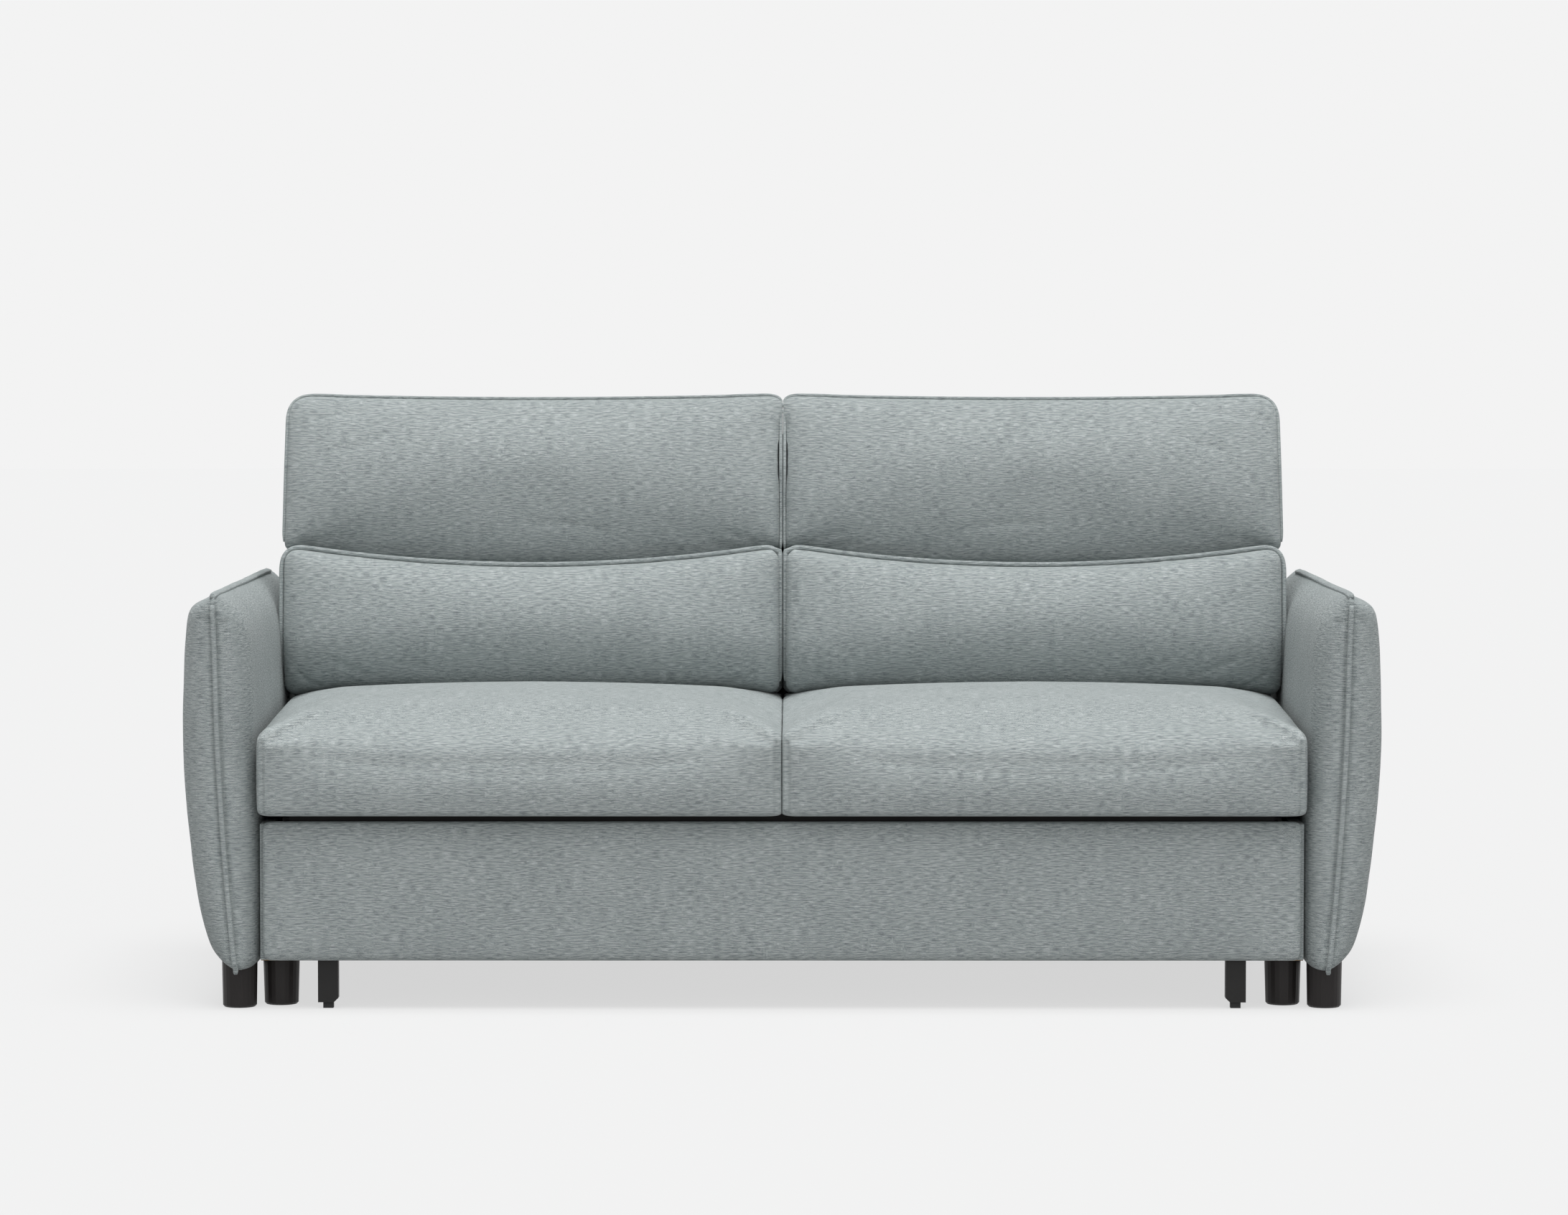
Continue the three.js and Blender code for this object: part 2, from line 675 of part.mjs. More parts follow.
// Seat section: upside down while folded, with its mattress under its frame and the seat cushions above

function addSeatSection() {
  const y0 = hingeY + sectionGap;
  const y1 = rearHingeY - tube / 2 - sectionGap;
  const pieces = bedFrame(y0, y1, -1).map((piece) => piece.translate(0, 0, seatFrameBottom));
  const middle = seatFrameBottom + tube / 2;
  const root = new THREE.Vector2(y0 + 2 * bossRadius, middle);
  const eye = new THREE.Vector2(hingeY, hingeZ);
  const rearRoot = new THREE.Vector2(y1 - 2 * bossRadius, middle);
  const rearEye = new THREE.Vector2(rearHingeY, rearHingeZ);
  for (const [, side] of sides) {
    const across = ([y, z], radius) => bar(side * (frameHalfWidth - plate), side * (seatPlateIn + plate / 2),
      y, z, radius);
    const arm = (from, to) => plateAcross(strap(from, to, 2 * bossRadius, 0), side * seatPlateIn,
      side * seatPlateOut);
    const hole = bar(side * headPlateOut, side * (seatPlateOut + overrun), hingeY, hingeZ,
      pinRadius + pinPlay);
    pieces.push(cut(arm(root, eye), [hole]), arm(rearRoot, rearEye));
    pieces.push(across(root, bossRadius), across(rearRoot, bossRadius), across(rearEye, pinRadius));
  }
  const supportY = y1 - supportPivotInset;
  pieces.push(block([-slatWidth / 2, slatWidth / 2], [y0 + tube / 2, y1 - tube / 2],
    [seatFrameTop - seat - slatThickness, seatFrameTop - seat]));
  pieces.push(...supportEars(supportY, seatFrameTop, supportPivotHeight));
  node(sofa, 'seat_frame', join(pieces), materials.steel);

  const mattressLength = rearHingeY - hingeY - 2 * sectionGap;
  const mattress = node(sofa, 'mattress_middle', mattressPad(mattressLength), materials.ticking);
  mattress.rotation.x = Math.PI;
  mattress.position.set(0, (hingeY + rearHingeY) / 2, seatFrameBottom - seat);

  addSupport(sofa, 'middle_support_leg', supportY, seatFrameTop + supportPivotHeight, supportReach);

  const cushionRear = rearHingeY - seatRearGap;
  const cushionForm = { width: seatHalfWidth - crevice, height: cushionRear - front, corner: seatCorner,
    cornerSteps: 4, sideSteps: 4, thickness: seatTop - seatFrameTop - seat, edge: seatEdgeHeight,
    backRound: seatBackRound, power: 2.2, dipSide: seatSideDip, dipTop: seatRearDip, liftFar: seatRearLift };
  for (const [label, side] of sides) {
    const cushion = node(sofa, `seat_cushion_${label}`, pad(cushionForm), materials.fabric);
    const x = side * (seatHalfWidth + crevice) / 2;
    cushion.position.set(x, (front + cushionRear) / 2, seatFrameTop + seat);
  }
}

// Back section, in its own frame: Y runs up the back from the rear hinge, Z towards the sitter

function addBackSection() {
  const back = new THREE.Group();
  back.position.set(0, rearHingeY, rearHingeZ);
  back.rotation.x = backAngle;
  sofa.add(back);

  const y0 = tube / 2 + sectionGap;
  const y1 = backLength;
  const pieces = bedFrame(y0, y1, -1).map((piece) => piece.translate(0, 0, -tube / 2));
  for (const [, side] of sides) {
    const root = new THREE.Vector2(y0 + 2 * bossRadius, 0);
    const eye = new THREE.Vector2(0, 0);
    const hinge = plateAcross(strap(root, eye, 2 * bossRadius, 0), side * (frameHalfWidth + running / 3),
      side * headPlateOut);
    pieces.push(cut(hinge, [bar(side * (frameHalfWidth - plate), side * (headPlateOut + overrun), 0, 0,
      pinRadius + pinPlay)]));
    pieces.push(bar(side * (frameHalfWidth - plate), side * (frameHalfWidth + plate / 2), root.x, 0,
      bossRadius));
  }
  const supportY = y1 - supportPivotInset;
  pieces.push(block([-slatWidth / 2, slatWidth / 2], [y0 + tube / 2, y1 - tube / 2],
    [tube / 2 - seat - slatThickness, tube / 2 - seat]));
  pieces.push(...supportEars(supportY, tube / 2, supportPivotHeight));
  node(back, 'back_frame', join(pieces), materials.steel);

  const mattress = node(back, 'mattress_foot', mattressPad(backLength - sectionGap), materials.ticking);
  mattress.rotation.x = Math.PI;
  mattress.position.set(0, (backLength + sectionGap) / 2, -tube / 2 - seat);

  addSupport(back, 'foot_support_leg', supportY, tube / 2 + supportPivotHeight, supportReach);

  const face = tube / 2 + seat;
  const along = (height) => (height - rearHingeZ) / Math.sin(backAngle);
  const lumbarLow = along(seatTop) + lumbarClearance;
  const lumbarHigh = along(lumbarTop) - lumbarTopRoll;
  const upperLow = lumbarHigh - upperBottomDrop;
  const upperHigh = along(backTop) - upperTopRoll;
  const lumbarForm = { width: backHalfWidth - crevice, height: lumbarHigh - lumbarLow, corner: backCorner,
    cornerSteps: 4, sideSteps: 6, thickness: lumbarDepth, edge: lumbarDepth * lumbarEdgeShare,
    backRound: lumbarBackRound, power: 2.2, dipTop: lumbarTopDip, dipSide: backSideDip,
    liftNear: lumbarDepth * lumbarFootShare };
  const upperForm = { width: upperHalfWidth - crevice, height: upperHigh - upperLow, corner: backCorner,
    cornerSteps: 4, sideSteps: 6, thickness: upperDepth, edge: upperDepth * upperEdgeShare,
    backRound: upperBackRound, power: 2.2, dipTop: upperTopDip, dipSide: backSideDip };
  for (const [label, side] of sides) {
    const lumbarX = side * (backHalfWidth + crevice) / 2;
    const upperX = side * (upperHalfWidth + crevice) / 2;
    const levelled = (form, back) => level(pad(form).translate(lumbarX, (lumbarLow + lumbarHigh) / 2, back),
      lumbarLow, lumbarHigh, THREE.MathUtils.degToRad(backTilt));
    const upperBody = pad(upperForm).translate(upperX, (upperLow + upperHigh) / 2, face);
    // the lower edge of the upper cushion is tucked down behind the lumbar cushion's top edge
    const grown = { ...lumbarForm, width: lumbarForm.width + 2 * running,
      height: lumbarForm.height + 2 * running, thickness: lumbarForm.thickness + 2 * running,
      edge: lumbarForm.edge + running };
    node(back, `lumbar_cushion_${label}`, levelled(lumbarForm, face), materials.fabric);
    const upper = cut(upperBody, [levelled(grown, face - running)]);
    node(back, `upper_cushion_${label}`, upper, materials.fabric);
  }
}

addArms();
addBase();
addSteelBase();
addLinks();
addHeadSection();
addSeatSection();
addBackSection();

export default sofa;
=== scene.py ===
# Looks of the two-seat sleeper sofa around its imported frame: upholstery, piping, seams, mattress and finishes.
# Metres, +Z up, -Y to the front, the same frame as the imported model.
import math

import bmesh
import bpy
import numpy as np
from mathutils import Matrix, Vector, noise
from mathutils.bvhtree import BVHTree


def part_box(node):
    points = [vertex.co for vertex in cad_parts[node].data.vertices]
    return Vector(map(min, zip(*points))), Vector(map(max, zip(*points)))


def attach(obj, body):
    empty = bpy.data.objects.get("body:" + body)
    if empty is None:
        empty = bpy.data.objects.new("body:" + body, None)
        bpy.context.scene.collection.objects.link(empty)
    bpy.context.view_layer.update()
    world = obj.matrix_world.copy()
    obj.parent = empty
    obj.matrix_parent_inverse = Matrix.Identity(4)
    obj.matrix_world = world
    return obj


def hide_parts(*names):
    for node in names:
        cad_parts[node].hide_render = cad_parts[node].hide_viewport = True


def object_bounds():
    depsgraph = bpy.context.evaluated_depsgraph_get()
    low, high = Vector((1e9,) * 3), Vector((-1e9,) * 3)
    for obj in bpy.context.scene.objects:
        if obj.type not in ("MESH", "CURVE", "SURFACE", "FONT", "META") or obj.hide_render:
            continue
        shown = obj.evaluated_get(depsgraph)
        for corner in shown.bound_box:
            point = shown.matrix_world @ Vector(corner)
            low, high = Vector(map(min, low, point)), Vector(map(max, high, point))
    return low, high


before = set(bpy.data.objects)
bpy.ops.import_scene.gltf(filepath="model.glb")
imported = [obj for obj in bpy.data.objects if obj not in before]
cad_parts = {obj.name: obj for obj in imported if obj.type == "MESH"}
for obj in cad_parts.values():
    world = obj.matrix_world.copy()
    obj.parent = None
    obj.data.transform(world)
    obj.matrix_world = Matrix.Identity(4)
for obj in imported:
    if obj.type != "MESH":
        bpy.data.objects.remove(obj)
cad_low, cad_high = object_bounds()
scene = bpy.context.scene
MM = 0.001
SIDES = (("left", -1), ("right", 1))

# Camera, from the photograph: a long lens about nine metres away, a little to the right of the middle
PHOTO_WIDTH = 2184
PHOTO_HEIGHT = 1693
FOCAL_PX = 7920
HORIZON_PX = 430
SENSOR = 36
CAMERA_DISTANCE = 8.906
CAMERA_HEIGHT = 1.106
CAMERA_YAW = math.radians(0.12)
AIM_X = 0.0035


def make_camera():
    pitch = math.atan((PHOTO_HEIGHT / 2 - HORIZON_PX) / FOCAL_PX)
    data = bpy.data.cameras.new("camera")
    data.sensor_width = SENSOR
    data.lens = FOCAL_PX / PHOTO_WIDTH * SENSOR
    data.clip_end = 100
    camera = bpy.data.objects.new("camera", data)
    scene.collection.objects.link(camera)
    camera.location = (AIM_X + CAMERA_DISTANCE * math.sin(CAMERA_YAW),
                       cad_low.y - CAMERA_DISTANCE * math.cos(CAMERA_YAW), CAMERA_HEIGHT)
    camera.rotation_euler = (math.pi / 2 - pitch, 0, CAMERA_YAW)
    scene.camera = camera


# Materials


class Nodes:
    """A short way to write the shader nodes of a material or a world."""

    def __init__(self, owner):
        self.owner = owner
        owner.use_nodes = True
        self.tree = owner.node_tree
        self.tree.nodes.clear()

    def link(self, source, target):
        if isinstance(source, (int, float, tuple)):
            target.default_value = source
        else:
            self.tree.links.new(source, target)

    def add(self, kind, inputs, **settings):
        """A node with its settings, then its inputs by name or number."""
        node = self.tree.nodes.new(kind)
        for key, value in settings.items():
            setattr(node, key, value)
        for key, value in inputs.items():
            self.link(value, node.inputs[key])
        return node

    def math(self, operation, a, b=0.0, c=0.0, clamp=False):
        return self.add("ShaderNodeMath", {0: a, 1: b, 2: c}, operation=operation, use_clamp=clamp).outputs[0]

    def mix(self, factor, a, b):
        return self.add("ShaderNodeMix", {"Factor": factor, "A": a, "B": b}, data_type="RGBA").outputs["Result"]

    def separate(self, vector):
        return self.add("ShaderNodeSeparateXYZ", {0: vector}).outputs

    def combine(self, x, y, z):
        return self.add("ShaderNodeCombineXYZ", {0: x, 1: y, 2: z}).outputs[0]

    def noise(self, vector, scale, detail, roughness):
        inputs = {"Vector": vector, "Scale": scale, "Detail": detail, "Roughness": roughness}
        return self.add("ShaderNodeTexNoise", inputs).outputs["Fac"]

    def ramp(self, value, low, high):
        inputs = {"Value": value, "From Min": low, "From Max": high}
        return self.add("ShaderNodeMapRange", inputs, interpolation_type="SMOOTHSTEP").outputs["Result"]

    def place(self):
        return self.add("ShaderNodeTexCoord", {}).outputs["Object"]

    def bump(self, height, distance, strength):
        inputs = {"Strength": strength, "Distance": distance, "Height": height}
        return self.add("ShaderNodeBump", inputs).outputs["Normal"]

    def surface(self, colour, roughness, normal, **constants):
        inputs = {"Base Color": colour, "Roughness": roughness, "Normal": normal}
        inputs.update((key.replace("_", " "), value) for key, value in constants.items())
        shader = self.add("ShaderNodeBsdfPrincipled", inputs)
        self.add("ShaderNodeOutputMaterial", {"Surface": shader.outputs[0]})
        return self.owner


def weave_value(nodes, across, along):
    """Herringbone twill with uneven yarn, on a plane: about 0.5 on average."""
    column = 9.5 * MM
    pitch = 2.5 * MM
    slant = nodes.math("PINGPONG", across, column)
    phase = nodes.math("DIVIDE", nodes.math("ADD", along, slant), pitch / (2 * math.pi))
    twill = nodes.math("MULTIPLY_ADD", nodes.math("SINE", phase), 0.5, 0.5)
    slub_vector = nodes.combine(nodes.math("MULTIPLY", across, 0.14), along, 0.0)
    slub = nodes.noise(slub_vector, 520, 2.0, 0.6)
    fleck_vector = nodes.combine(nodes.math("MULTIPLY", across, 0.45), along, 3.0)
    fleck = nodes.noise(fleck_vector, 900, 1.0, 0.5)
    total = nodes.math("MULTIPLY", twill, 0.22)
    total = nodes.math("MULTIPLY_ADD", slub, 0.85, total)
    total = nodes.math("MULTIPLY_ADD", fleck, 0.55, total)
    return nodes.math("SUBTRACT", total, 0.31)


def over_planes(nodes, value_of):
    """A pattern laid on the three planes of the object and joined where the surface turns."""
    place = nodes.add("ShaderNodeTexCoord", {})
    x, y, z = nodes.separate(place.outputs["Object"])
    normal = nodes.separate(place.outputs["Normal"])
    total = share = None
    sharpness = 8.0
    planes = ((normal[0], 0.80, y, z), (normal[1], 1.0, x, z), (normal[2], 0.62, x, y))
    for part, bias, across, along in planes:
        facing = nodes.math("MULTIPLY", nodes.math("ABSOLUTE", part), bias)
        weight = nodes.math("POWER", facing, sharpness)
        value = nodes.math("MULTIPLY", value_of(nodes, across, along), weight)
        total = value if total is None else nodes.math("ADD", total, value)
        share = weight if share is None else nodes.math("ADD", share, weight)
    return nodes.math("DIVIDE", total, share), place.outputs["Object"]


def fabric_material():
    nodes = Nodes(bpy.data.materials.new("fabric"))
    weave, place = over_planes(nodes, weave_value)
    patches = nodes.noise(place, 14, 3.0, 0.55)
    shade = nodes.math("MULTIPLY_ADD", nodes.math("SUBTRACT", patches, 0.5), 0.10, weave)
    dark = (0.120, 0.145, 0.150, 1)
    middle = (0.365, 0.402, 0.402, 1)
    pale = (0.66, 0.70, 0.695, 1)
    low = nodes.mix(nodes.ramp(shade, 0.22, 0.52), dark, middle)
    colour = nodes.mix(nodes.ramp(shade, 0.50, 0.82), low, pale)
    normal = nodes.bump(weave, 0.9 * MM, 0.55)
    return nodes.surface(colour, 0.92, normal, Sheen_Weight=0.12, Sheen_Roughness=0.4,
                         Specular_IOR_Level=0.25)


def ticking_material():
    nodes = Nodes(bpy.data.materials.new("ticking"))
    row = 1.6 * MM / (2 * math.pi)
    stitch = 2.2 * MM / (2 * math.pi)

    def knit(nodes, across, along):
        rows = nodes.math("SINE", nodes.math("DIVIDE", along, row))
        stitches = nodes.math("SINE", nodes.math("DIVIDE", across, stitch))
        return nodes.math("MULTIPLY_ADD", nodes.math("MULTIPLY", rows, stitches), 0.25, 0.5)

    value, place = over_planes(nodes, knit)
    mottle = nodes.noise(place, 30, 3.0, 0.5)
    shade = nodes.math("MULTIPLY_ADD", mottle, 0.5, nodes.math("MULTIPLY", value, 0.5))
    colour = nodes.mix(shade, (0.60, 0.59, 0.555, 1), (0.80, 0.79, 0.76, 1))
    return nodes.surface(colour, 0.9, nodes.bump(value, 0.5 * MM, 0.5), Sheen_Weight=0.15)


def steel_material():
    nodes = Nodes(bpy.data.materials.new("steel"))
    place = nodes.place()
    peel = nodes.noise(place, 900, 2.0, 0.5)
    wear = nodes.noise(place, 22, 4.0, 0.6)
    colour = nodes.mix(wear, (0.0090, 0.0086, 0.0084, 1), (0.0200, 0.0192, 0.0188, 1))
    rough = nodes.math("MULTIPLY_ADD", wear, 0.22, 0.36)
    return nodes.surface(colour, rough, nodes.bump(peel, 0.15 * MM, 0.5), Specular_IOR_Level=0.28)


def grained_material(name, stretch, texture, dark, pale, roughness, relief, strength, **constants):
    """A plain material with a grain: roughness is its least value and how much the grain adds."""
    nodes = Nodes(bpy.data.materials.new(name))
    parts = nodes.separate(nodes.place())
    stretched = nodes.combine(*(nodes.math("MULTIPLY", *pair) for pair in zip(parts, stretch)))
    grain = nodes.noise(stretched, *texture)
    rough = nodes.math("MULTIPLY_ADD", grain, roughness[1], roughness[0])
    bump = nodes.bump(grain, relief, strength)
    return nodes.surface(nodes.mix(grain, dark, pale), rough, bump, **constants)


# One material for every slot name
MATERIALS = {
    "fabric": fabric_material(),
    "ticking": ticking_material(),
    "steel": steel_material(),
    "leg": grained_material("leg", (1, 1, 0.08), (420, 4.0, 0.6), (0.0110, 0.0094, 0.0090, 1),
                            (0.0240, 0.0200, 0.0193, 1), (0.36, 0.18), 0.12 * MM, 0.4,
                            Specular_IOR_Level=0.28),
    "wood": grained_material("wood", (0.1, 0.1, 1), (260, 5.0, 0.65), (0.32, 0.20, 0.105, 1),
                             (0.62, 0.45, 0.27, 1), (0.7, 0), 0.3 * MM, 0.5),
    "rubber": grained_material("rubber", (1, 1, 1), (1500, 2.0, 0.5), (0.010, 0.010, 0.010, 1),
                               (0.022, 0.022, 0.022, 1), (0.78, 0), 0.2 * MM, 0.5),
}


# Mesh helpers

TUBE_TAPER = (0.4, 0.75, 0.93)
CLOTH_FRAMES = 14
CLOTH_STIFFNESS = 12.0
CLOTH_BENDING = 0.6


def mesh_object(name, points, faces, slot):
    """A closed, smoothly shaded mesh in its material, with equal points joined and faces turned outward."""
    mesh = bpy.data.meshes.new(name)
    mesh.from_pydata([tuple(map(float, p)) for p in points], [], faces)
    mesh.validate()
    shape = bmesh.new()
    shape.from_mesh(mesh)
    bmesh.ops.remove_doubles(shape, verts=shape.verts, dist=0.01 * MM)
    bmesh.ops.recalc_face_normals(shape, faces=shape.faces)
    shape.to_mesh(mesh)
    shape.free()
    piece = bpy.data.objects.new(name, mesh)
    scene.collection.objects.link(piece)
    mesh.materials.append(MATERIALS[slot])
    smooth(piece)
    return piece


def smooth(piece):
    piece.data.polygons.foreach_set("use_smooth", [True] * len(piece.data.polygons))


def vertex_rows(mesh, kind):
    flat = np.empty(len(mesh.vertices) * 3, np.float32)
    mesh.vertices.foreach_get(kind, flat)
    return flat.reshape(-1, 3).astype(float)


def coordinates(mesh):
    return vertex_rows(mesh, "co")


def normals(mesh):
    return vertex_rows(mesh, "normal")


def set_coordinates(mesh, points):
    mesh.vertices.foreach_set("co", np.asarray(points, np.float32).ravel())
    mesh.update()


def moved(points, place):
    """Points taken from a piece's own frame to the frame of the model."""
    return points @ np.array(place.to_3x3()).T + np.array(place.translation)


def apply_modifier(piece, kind, **settings):
    """Gives a piece the mesh that a modifier makes of it."""
    modifier = piece.modifiers.new(kind.title(), kind)
    for key, value in settings.items():
        setattr(modifier, key, value)
    graph = bpy.context.evaluated_depsgraph_get()
    made = bpy.data.meshes.new_from_object(piece.evaluated_get(graph))
    piece.modifiers.clear()
    old = piece.data
    piece.data = made
    made.name = piece.name
    bpy.data.meshes.remove(old)
    smooth(piece)


def remesh(piece, voxel, rounds):
    apply_modifier(piece, "REMESH", mode="VOXEL", voxel_size=voxel, use_smooth_shade=True)
    apply_modifier(piece, "SMOOTH", factor=0.5, iterations=rounds)


def ring_faces(rings, count):
    """The faces between closed rings of count points each."""
    faces = []
    for ring in range(rings - 1):
        for k in range(count):
            step = (k + 1) % count
            faces.append((ring * count + k, ring * count + step,
                          (ring + 1) * count + step, (ring + 1) * count + k))
    return faces


def capped_faces(rings, count):
    """The same with both ends closed."""
    ends = [tuple(reversed(range(count))), tuple((rings - 1) * count + k for k in range(count))]
    return ring_faces(rings, count) + ends


def distance_to_path(points, path):
    """Each point's distance to a path of straight steps."""
    gap = np.full(len(points), np.inf)
    for a, b in zip(path[:-1], path[1:]):
        d = b - a
        share = np.clip(((points - a) @ d) / max(d @ d, 1e-12), 0, 1)
        foot = a + share[:, None] * d
        gap = np.minimum(gap, np.linalg.norm(points - foot, axis=1))
    return gap


def wander(points, size, seed, amount):
    """Smooth noise at each point, from -amount to amount."""
    shift = Vector((seed * 3.7, seed * 1.3, seed * 7.1))
    return np.array([noise.noise(Vector(p) / size + shift) for p in points]) * amount


def tube(name, path, radius, slot, sides, closed=False):
    """A round cord along a path. The ends of an open one taper."""
    path = [Vector(p) for p in path]
    count = len(path)
    points = []
    up = None
    for k in range(count):
        before = path[k - 1] if (closed or k > 0) else path[k]
        after = path[(k + 1) % count] if (closed or k < count - 1) else path[k]
        along = (after - before).normalized()
        if up is None:
            up = along.orthogonal().normalized()
        up = (up - along * up.dot(along)).normalized()
        aside = along.cross(up)
        end = count if closed else min(k, count - 1 - k)
        taper = TUBE_TAPER[end] if end < len(TUBE_TAPER) else 1.0
        for s in range(sides):
            angle = 2 * math.pi * s / sides
            spoke = up * math.cos(angle) + aside * math.sin(angle)
            points.append(path[k] + spoke * radius * taper)
    if closed:
        last = (count - 1) * sides
        faces = ring_faces(count, sides)
        faces += [(last + k, last + (k + 1) % sides, (k + 1) % sides, k) for k in range(sides)]
    else:
        faces = capped_faces(count, sides)
    return mesh_object(name, points, faces, slot)


def spaced(path, step):
    """The same path with points every step or so."""
    path = np.asarray(path, float)
    gaps = np.linalg.norm(np.diff(path, axis=0), axis=1)
    length = np.concatenate([[0], np.cumsum(gaps)])
    count = max(int(round(length[-1] / step)), 2)
    places = np.linspace(0, length[-1], count + 1)
    return np.stack([np.interp(places, length, path[:, k]) for k in range(3)], axis=1)


def curve_through(points, steps):
    """A smooth path through a few chosen points, in so many steps between two of them."""
    points = [Vector(p) for p in points]
    padded = [points[0] * 2 - points[1], *points, points[-1] * 2 - points[-2]]
    path = []
    for a, b, c, d in zip(padded, padded[1:], padded[2:], padded[3:]):
        for k in range(steps):
            t = k / steps
            path.append(0.5 * ((2 * b) + (c - a) * t + (2 * a - 5 * b + 4 * c - d) * t * t
                               + (3 * b - 3 * c + d - a) * t ** 3))
    path.append(points[-1])
    return np.array([tuple(p) for p in path])


def inflate(piece, pressure, cap, pinned):
    """Blows the closed skin up a little as cloth, then keeps the result: no point moves further than cap."""
    mesh = piece.data
    before = coordinates(mesh)
    pins = piece.vertex_groups.new(name="pins")
    pins.add([int(k) for k in np.nonzero(pinned)[0]], 1.0, "REPLACE")
    cloth = piece.modifiers.new("Cloth", "CLOTH")
    settings = cloth.settings
    settings.quality = 4
    settings.mass = 0.3
    settings.tension_stiffness = CLOTH_STIFFNESS
    settings.compression_stiffness = CLOTH_STIFFNESS
    settings.shear_stiffness = CLOTH_STIFFNESS / 3
    settings.bending_stiffness = CLOTH_BENDING
    settings.use_pressure = True
    settings.uniform_pressure_force = pressure
    settings.vertex_group_mass = "pins"
    settings.effector_weights.gravity = 0
    cloth.collision_settings.use_collision = False
    cloth.point_cache.frame_end = CLOTH_FRAMES
    for step in range(1, CLOTH_FRAMES + 1):
        scene.frame_set(step)
    graph = bpy.context.evaluated_depsgraph_get()
    after = coordinates(piece.evaluated_get(graph).data)
    piece.modifiers.clear()
    piece.vertex_groups.clear()
    scene.frame_set(1)
    move = after - before
    length = np.linalg.norm(move, axis=1)
    move *= (np.minimum(length, cap) / np.maximum(length, 1e-9))[:, None]
    set_coordinates(mesh, before + move)


# Pads: a pad has a flat back, an upright wall up to its seam, and a crowned face

# How far in the rings of points lie on the back and on the face, as shares of half the shorter side
BACK_SHARES = (0.9, 0.6, 0.3)
FACE_SHARES = (0.012, 0.035, 0.075, 0.13, 0.2, 0.29, 0.4, 0.52, 0.65, 0.78, 0.9)


def pad_outline(form, inset):
    """A rectangle with rounded corners and hollow sides, inset from the pad's edge."""
    half_w = form["width"] / 2 - inset
    half_h = form["height"] / 2 - inset
    points = []
    corners = ((1, 1), (-1, 1), (-1, -1), (1, -1))

    def corner_radius(sx, sy):
        corner = form["corner"] if sy > 0 else form.get("low_corner", form["corner"])
        if sy > 0 and sx * form.get("inner_side", 0) > 0:
            corner = form["inner_corner"]
        least = 0.4 * corner
        return min(max(corner - inset, least), half_w, half_h)

    for quadrant, (sx, sy) in enumerate(corners):
        radius = corner_radius(sx, sy)
        for k in range(form["corner_steps"] + 1):
            angle = (quadrant + k / form["corner_steps"]) * math.pi / 2
            points.append((sx * (half_w - radius) + radius * math.cos(angle),
                           sy * (half_h - radius) + radius * math.sin(angle)))
        nx, ny = corners[(quadrant + 1) % 4]
        start = np.array(points[-1])
        if sy == ny:
            stop = np.array((nx * (half_w - corner_radius(nx, ny)), ny * half_h))
            steps = form["long_steps"]
        else:
            stop = np.array((nx * half_w, ny * (half_h - corner_radius(nx, ny))))
            steps = form["short_steps"]
        for k in range(1, steps):
            points.append(tuple(start + (stop - start) * k / steps))
    points = np.array(points)
    across = 1 - (points[:, 0] / half_w) ** 2
    along = 1 - (points[:, 1] / half_h) ** 2
    fade = 1 - inset / (min(form["width"], form["height"]) / 2)
    dip = np.where(points[:, 1] > 0, form.get("dip_top", 0), form.get("dip_bottom", 0))
    points[:, 0] *= 1 - form.get("dip_side", 0) * fade * along / half_w
    points[:, 1] *= 1 - dip * fade * across / half_h
    return points


def at_height(outline, height):
    return np.column_stack([outline, np.full(len(outline), height)])


def pad_points(form):
    """Rings of points from the middle of the back, over the wall and the seam, to the middle of the face."""
    reach = min(form["width"], form["height"]) / 2
    rings = []
    for share in BACK_SHARES:
        rings.append(at_height(pad_outline(form, share * reach), 0))
    back_round = form["back_round"]
    for angle in np.linspace(0, math.pi / 2, 5):
        outline = pad_outline(form, back_round * (1 - math.sin(angle)))
        rings.append(at_height(outline, back_round * (1 - math.cos(angle))))
    wall = pad_outline(form, 0)
    seam = form["seam"](wall)
    for k in range(1, form["wall_steps"] + 1):
        rings.append(at_height(wall, back_round + (seam - back_round) * k / form["wall_steps"]))
    for share in FACE_SHARES:
        outline = pad_outline(form, share * reach)
        rings.append(at_height(outline, form["face"](outline, share)))
    return rings


def pad_piece(name, form, place, slot):
    rings = pad_points(form)
    count = len(rings[0])
    middles = [[0, 0, 0], [0, 0, form["top"]]]
    points = np.vstack([*rings, middles])
    faces = ring_faces(len(rings), count)
    low = len(points) - 2
    high = len(points) - 1
    last = (len(rings) - 1) * count
    for k in range(count):
        faces.append(((k + 1) % count, k, low))
        faces.append((last + k, last + (k + 1) % count, high))
    return mesh_object(name, moved(points, place), faces, slot)


def search_tree(piece):
    skin = bmesh.new()
    skin.from_mesh(piece.data)
    tree = BVHTree.FromBMesh(skin)
    skin.free()
    return tree


def surface_path(piece, path, lift):
    """The path laid on a piece's surface and lifted off it."""
    tree = search_tree(piece)
    laid = []
    for point in path:
        place, normal, _, _ = tree.find_nearest(Vector(point))
        laid.append(place + normal * lift)
    return laid


def smooth_path(path, rounds):
    path = np.array([tuple(p) for p in path])
    for _ in range(rounds):
        path[1:-1] = (path[:-2] + path[2:] + 2 * path[1:-1]) / 4
    return path


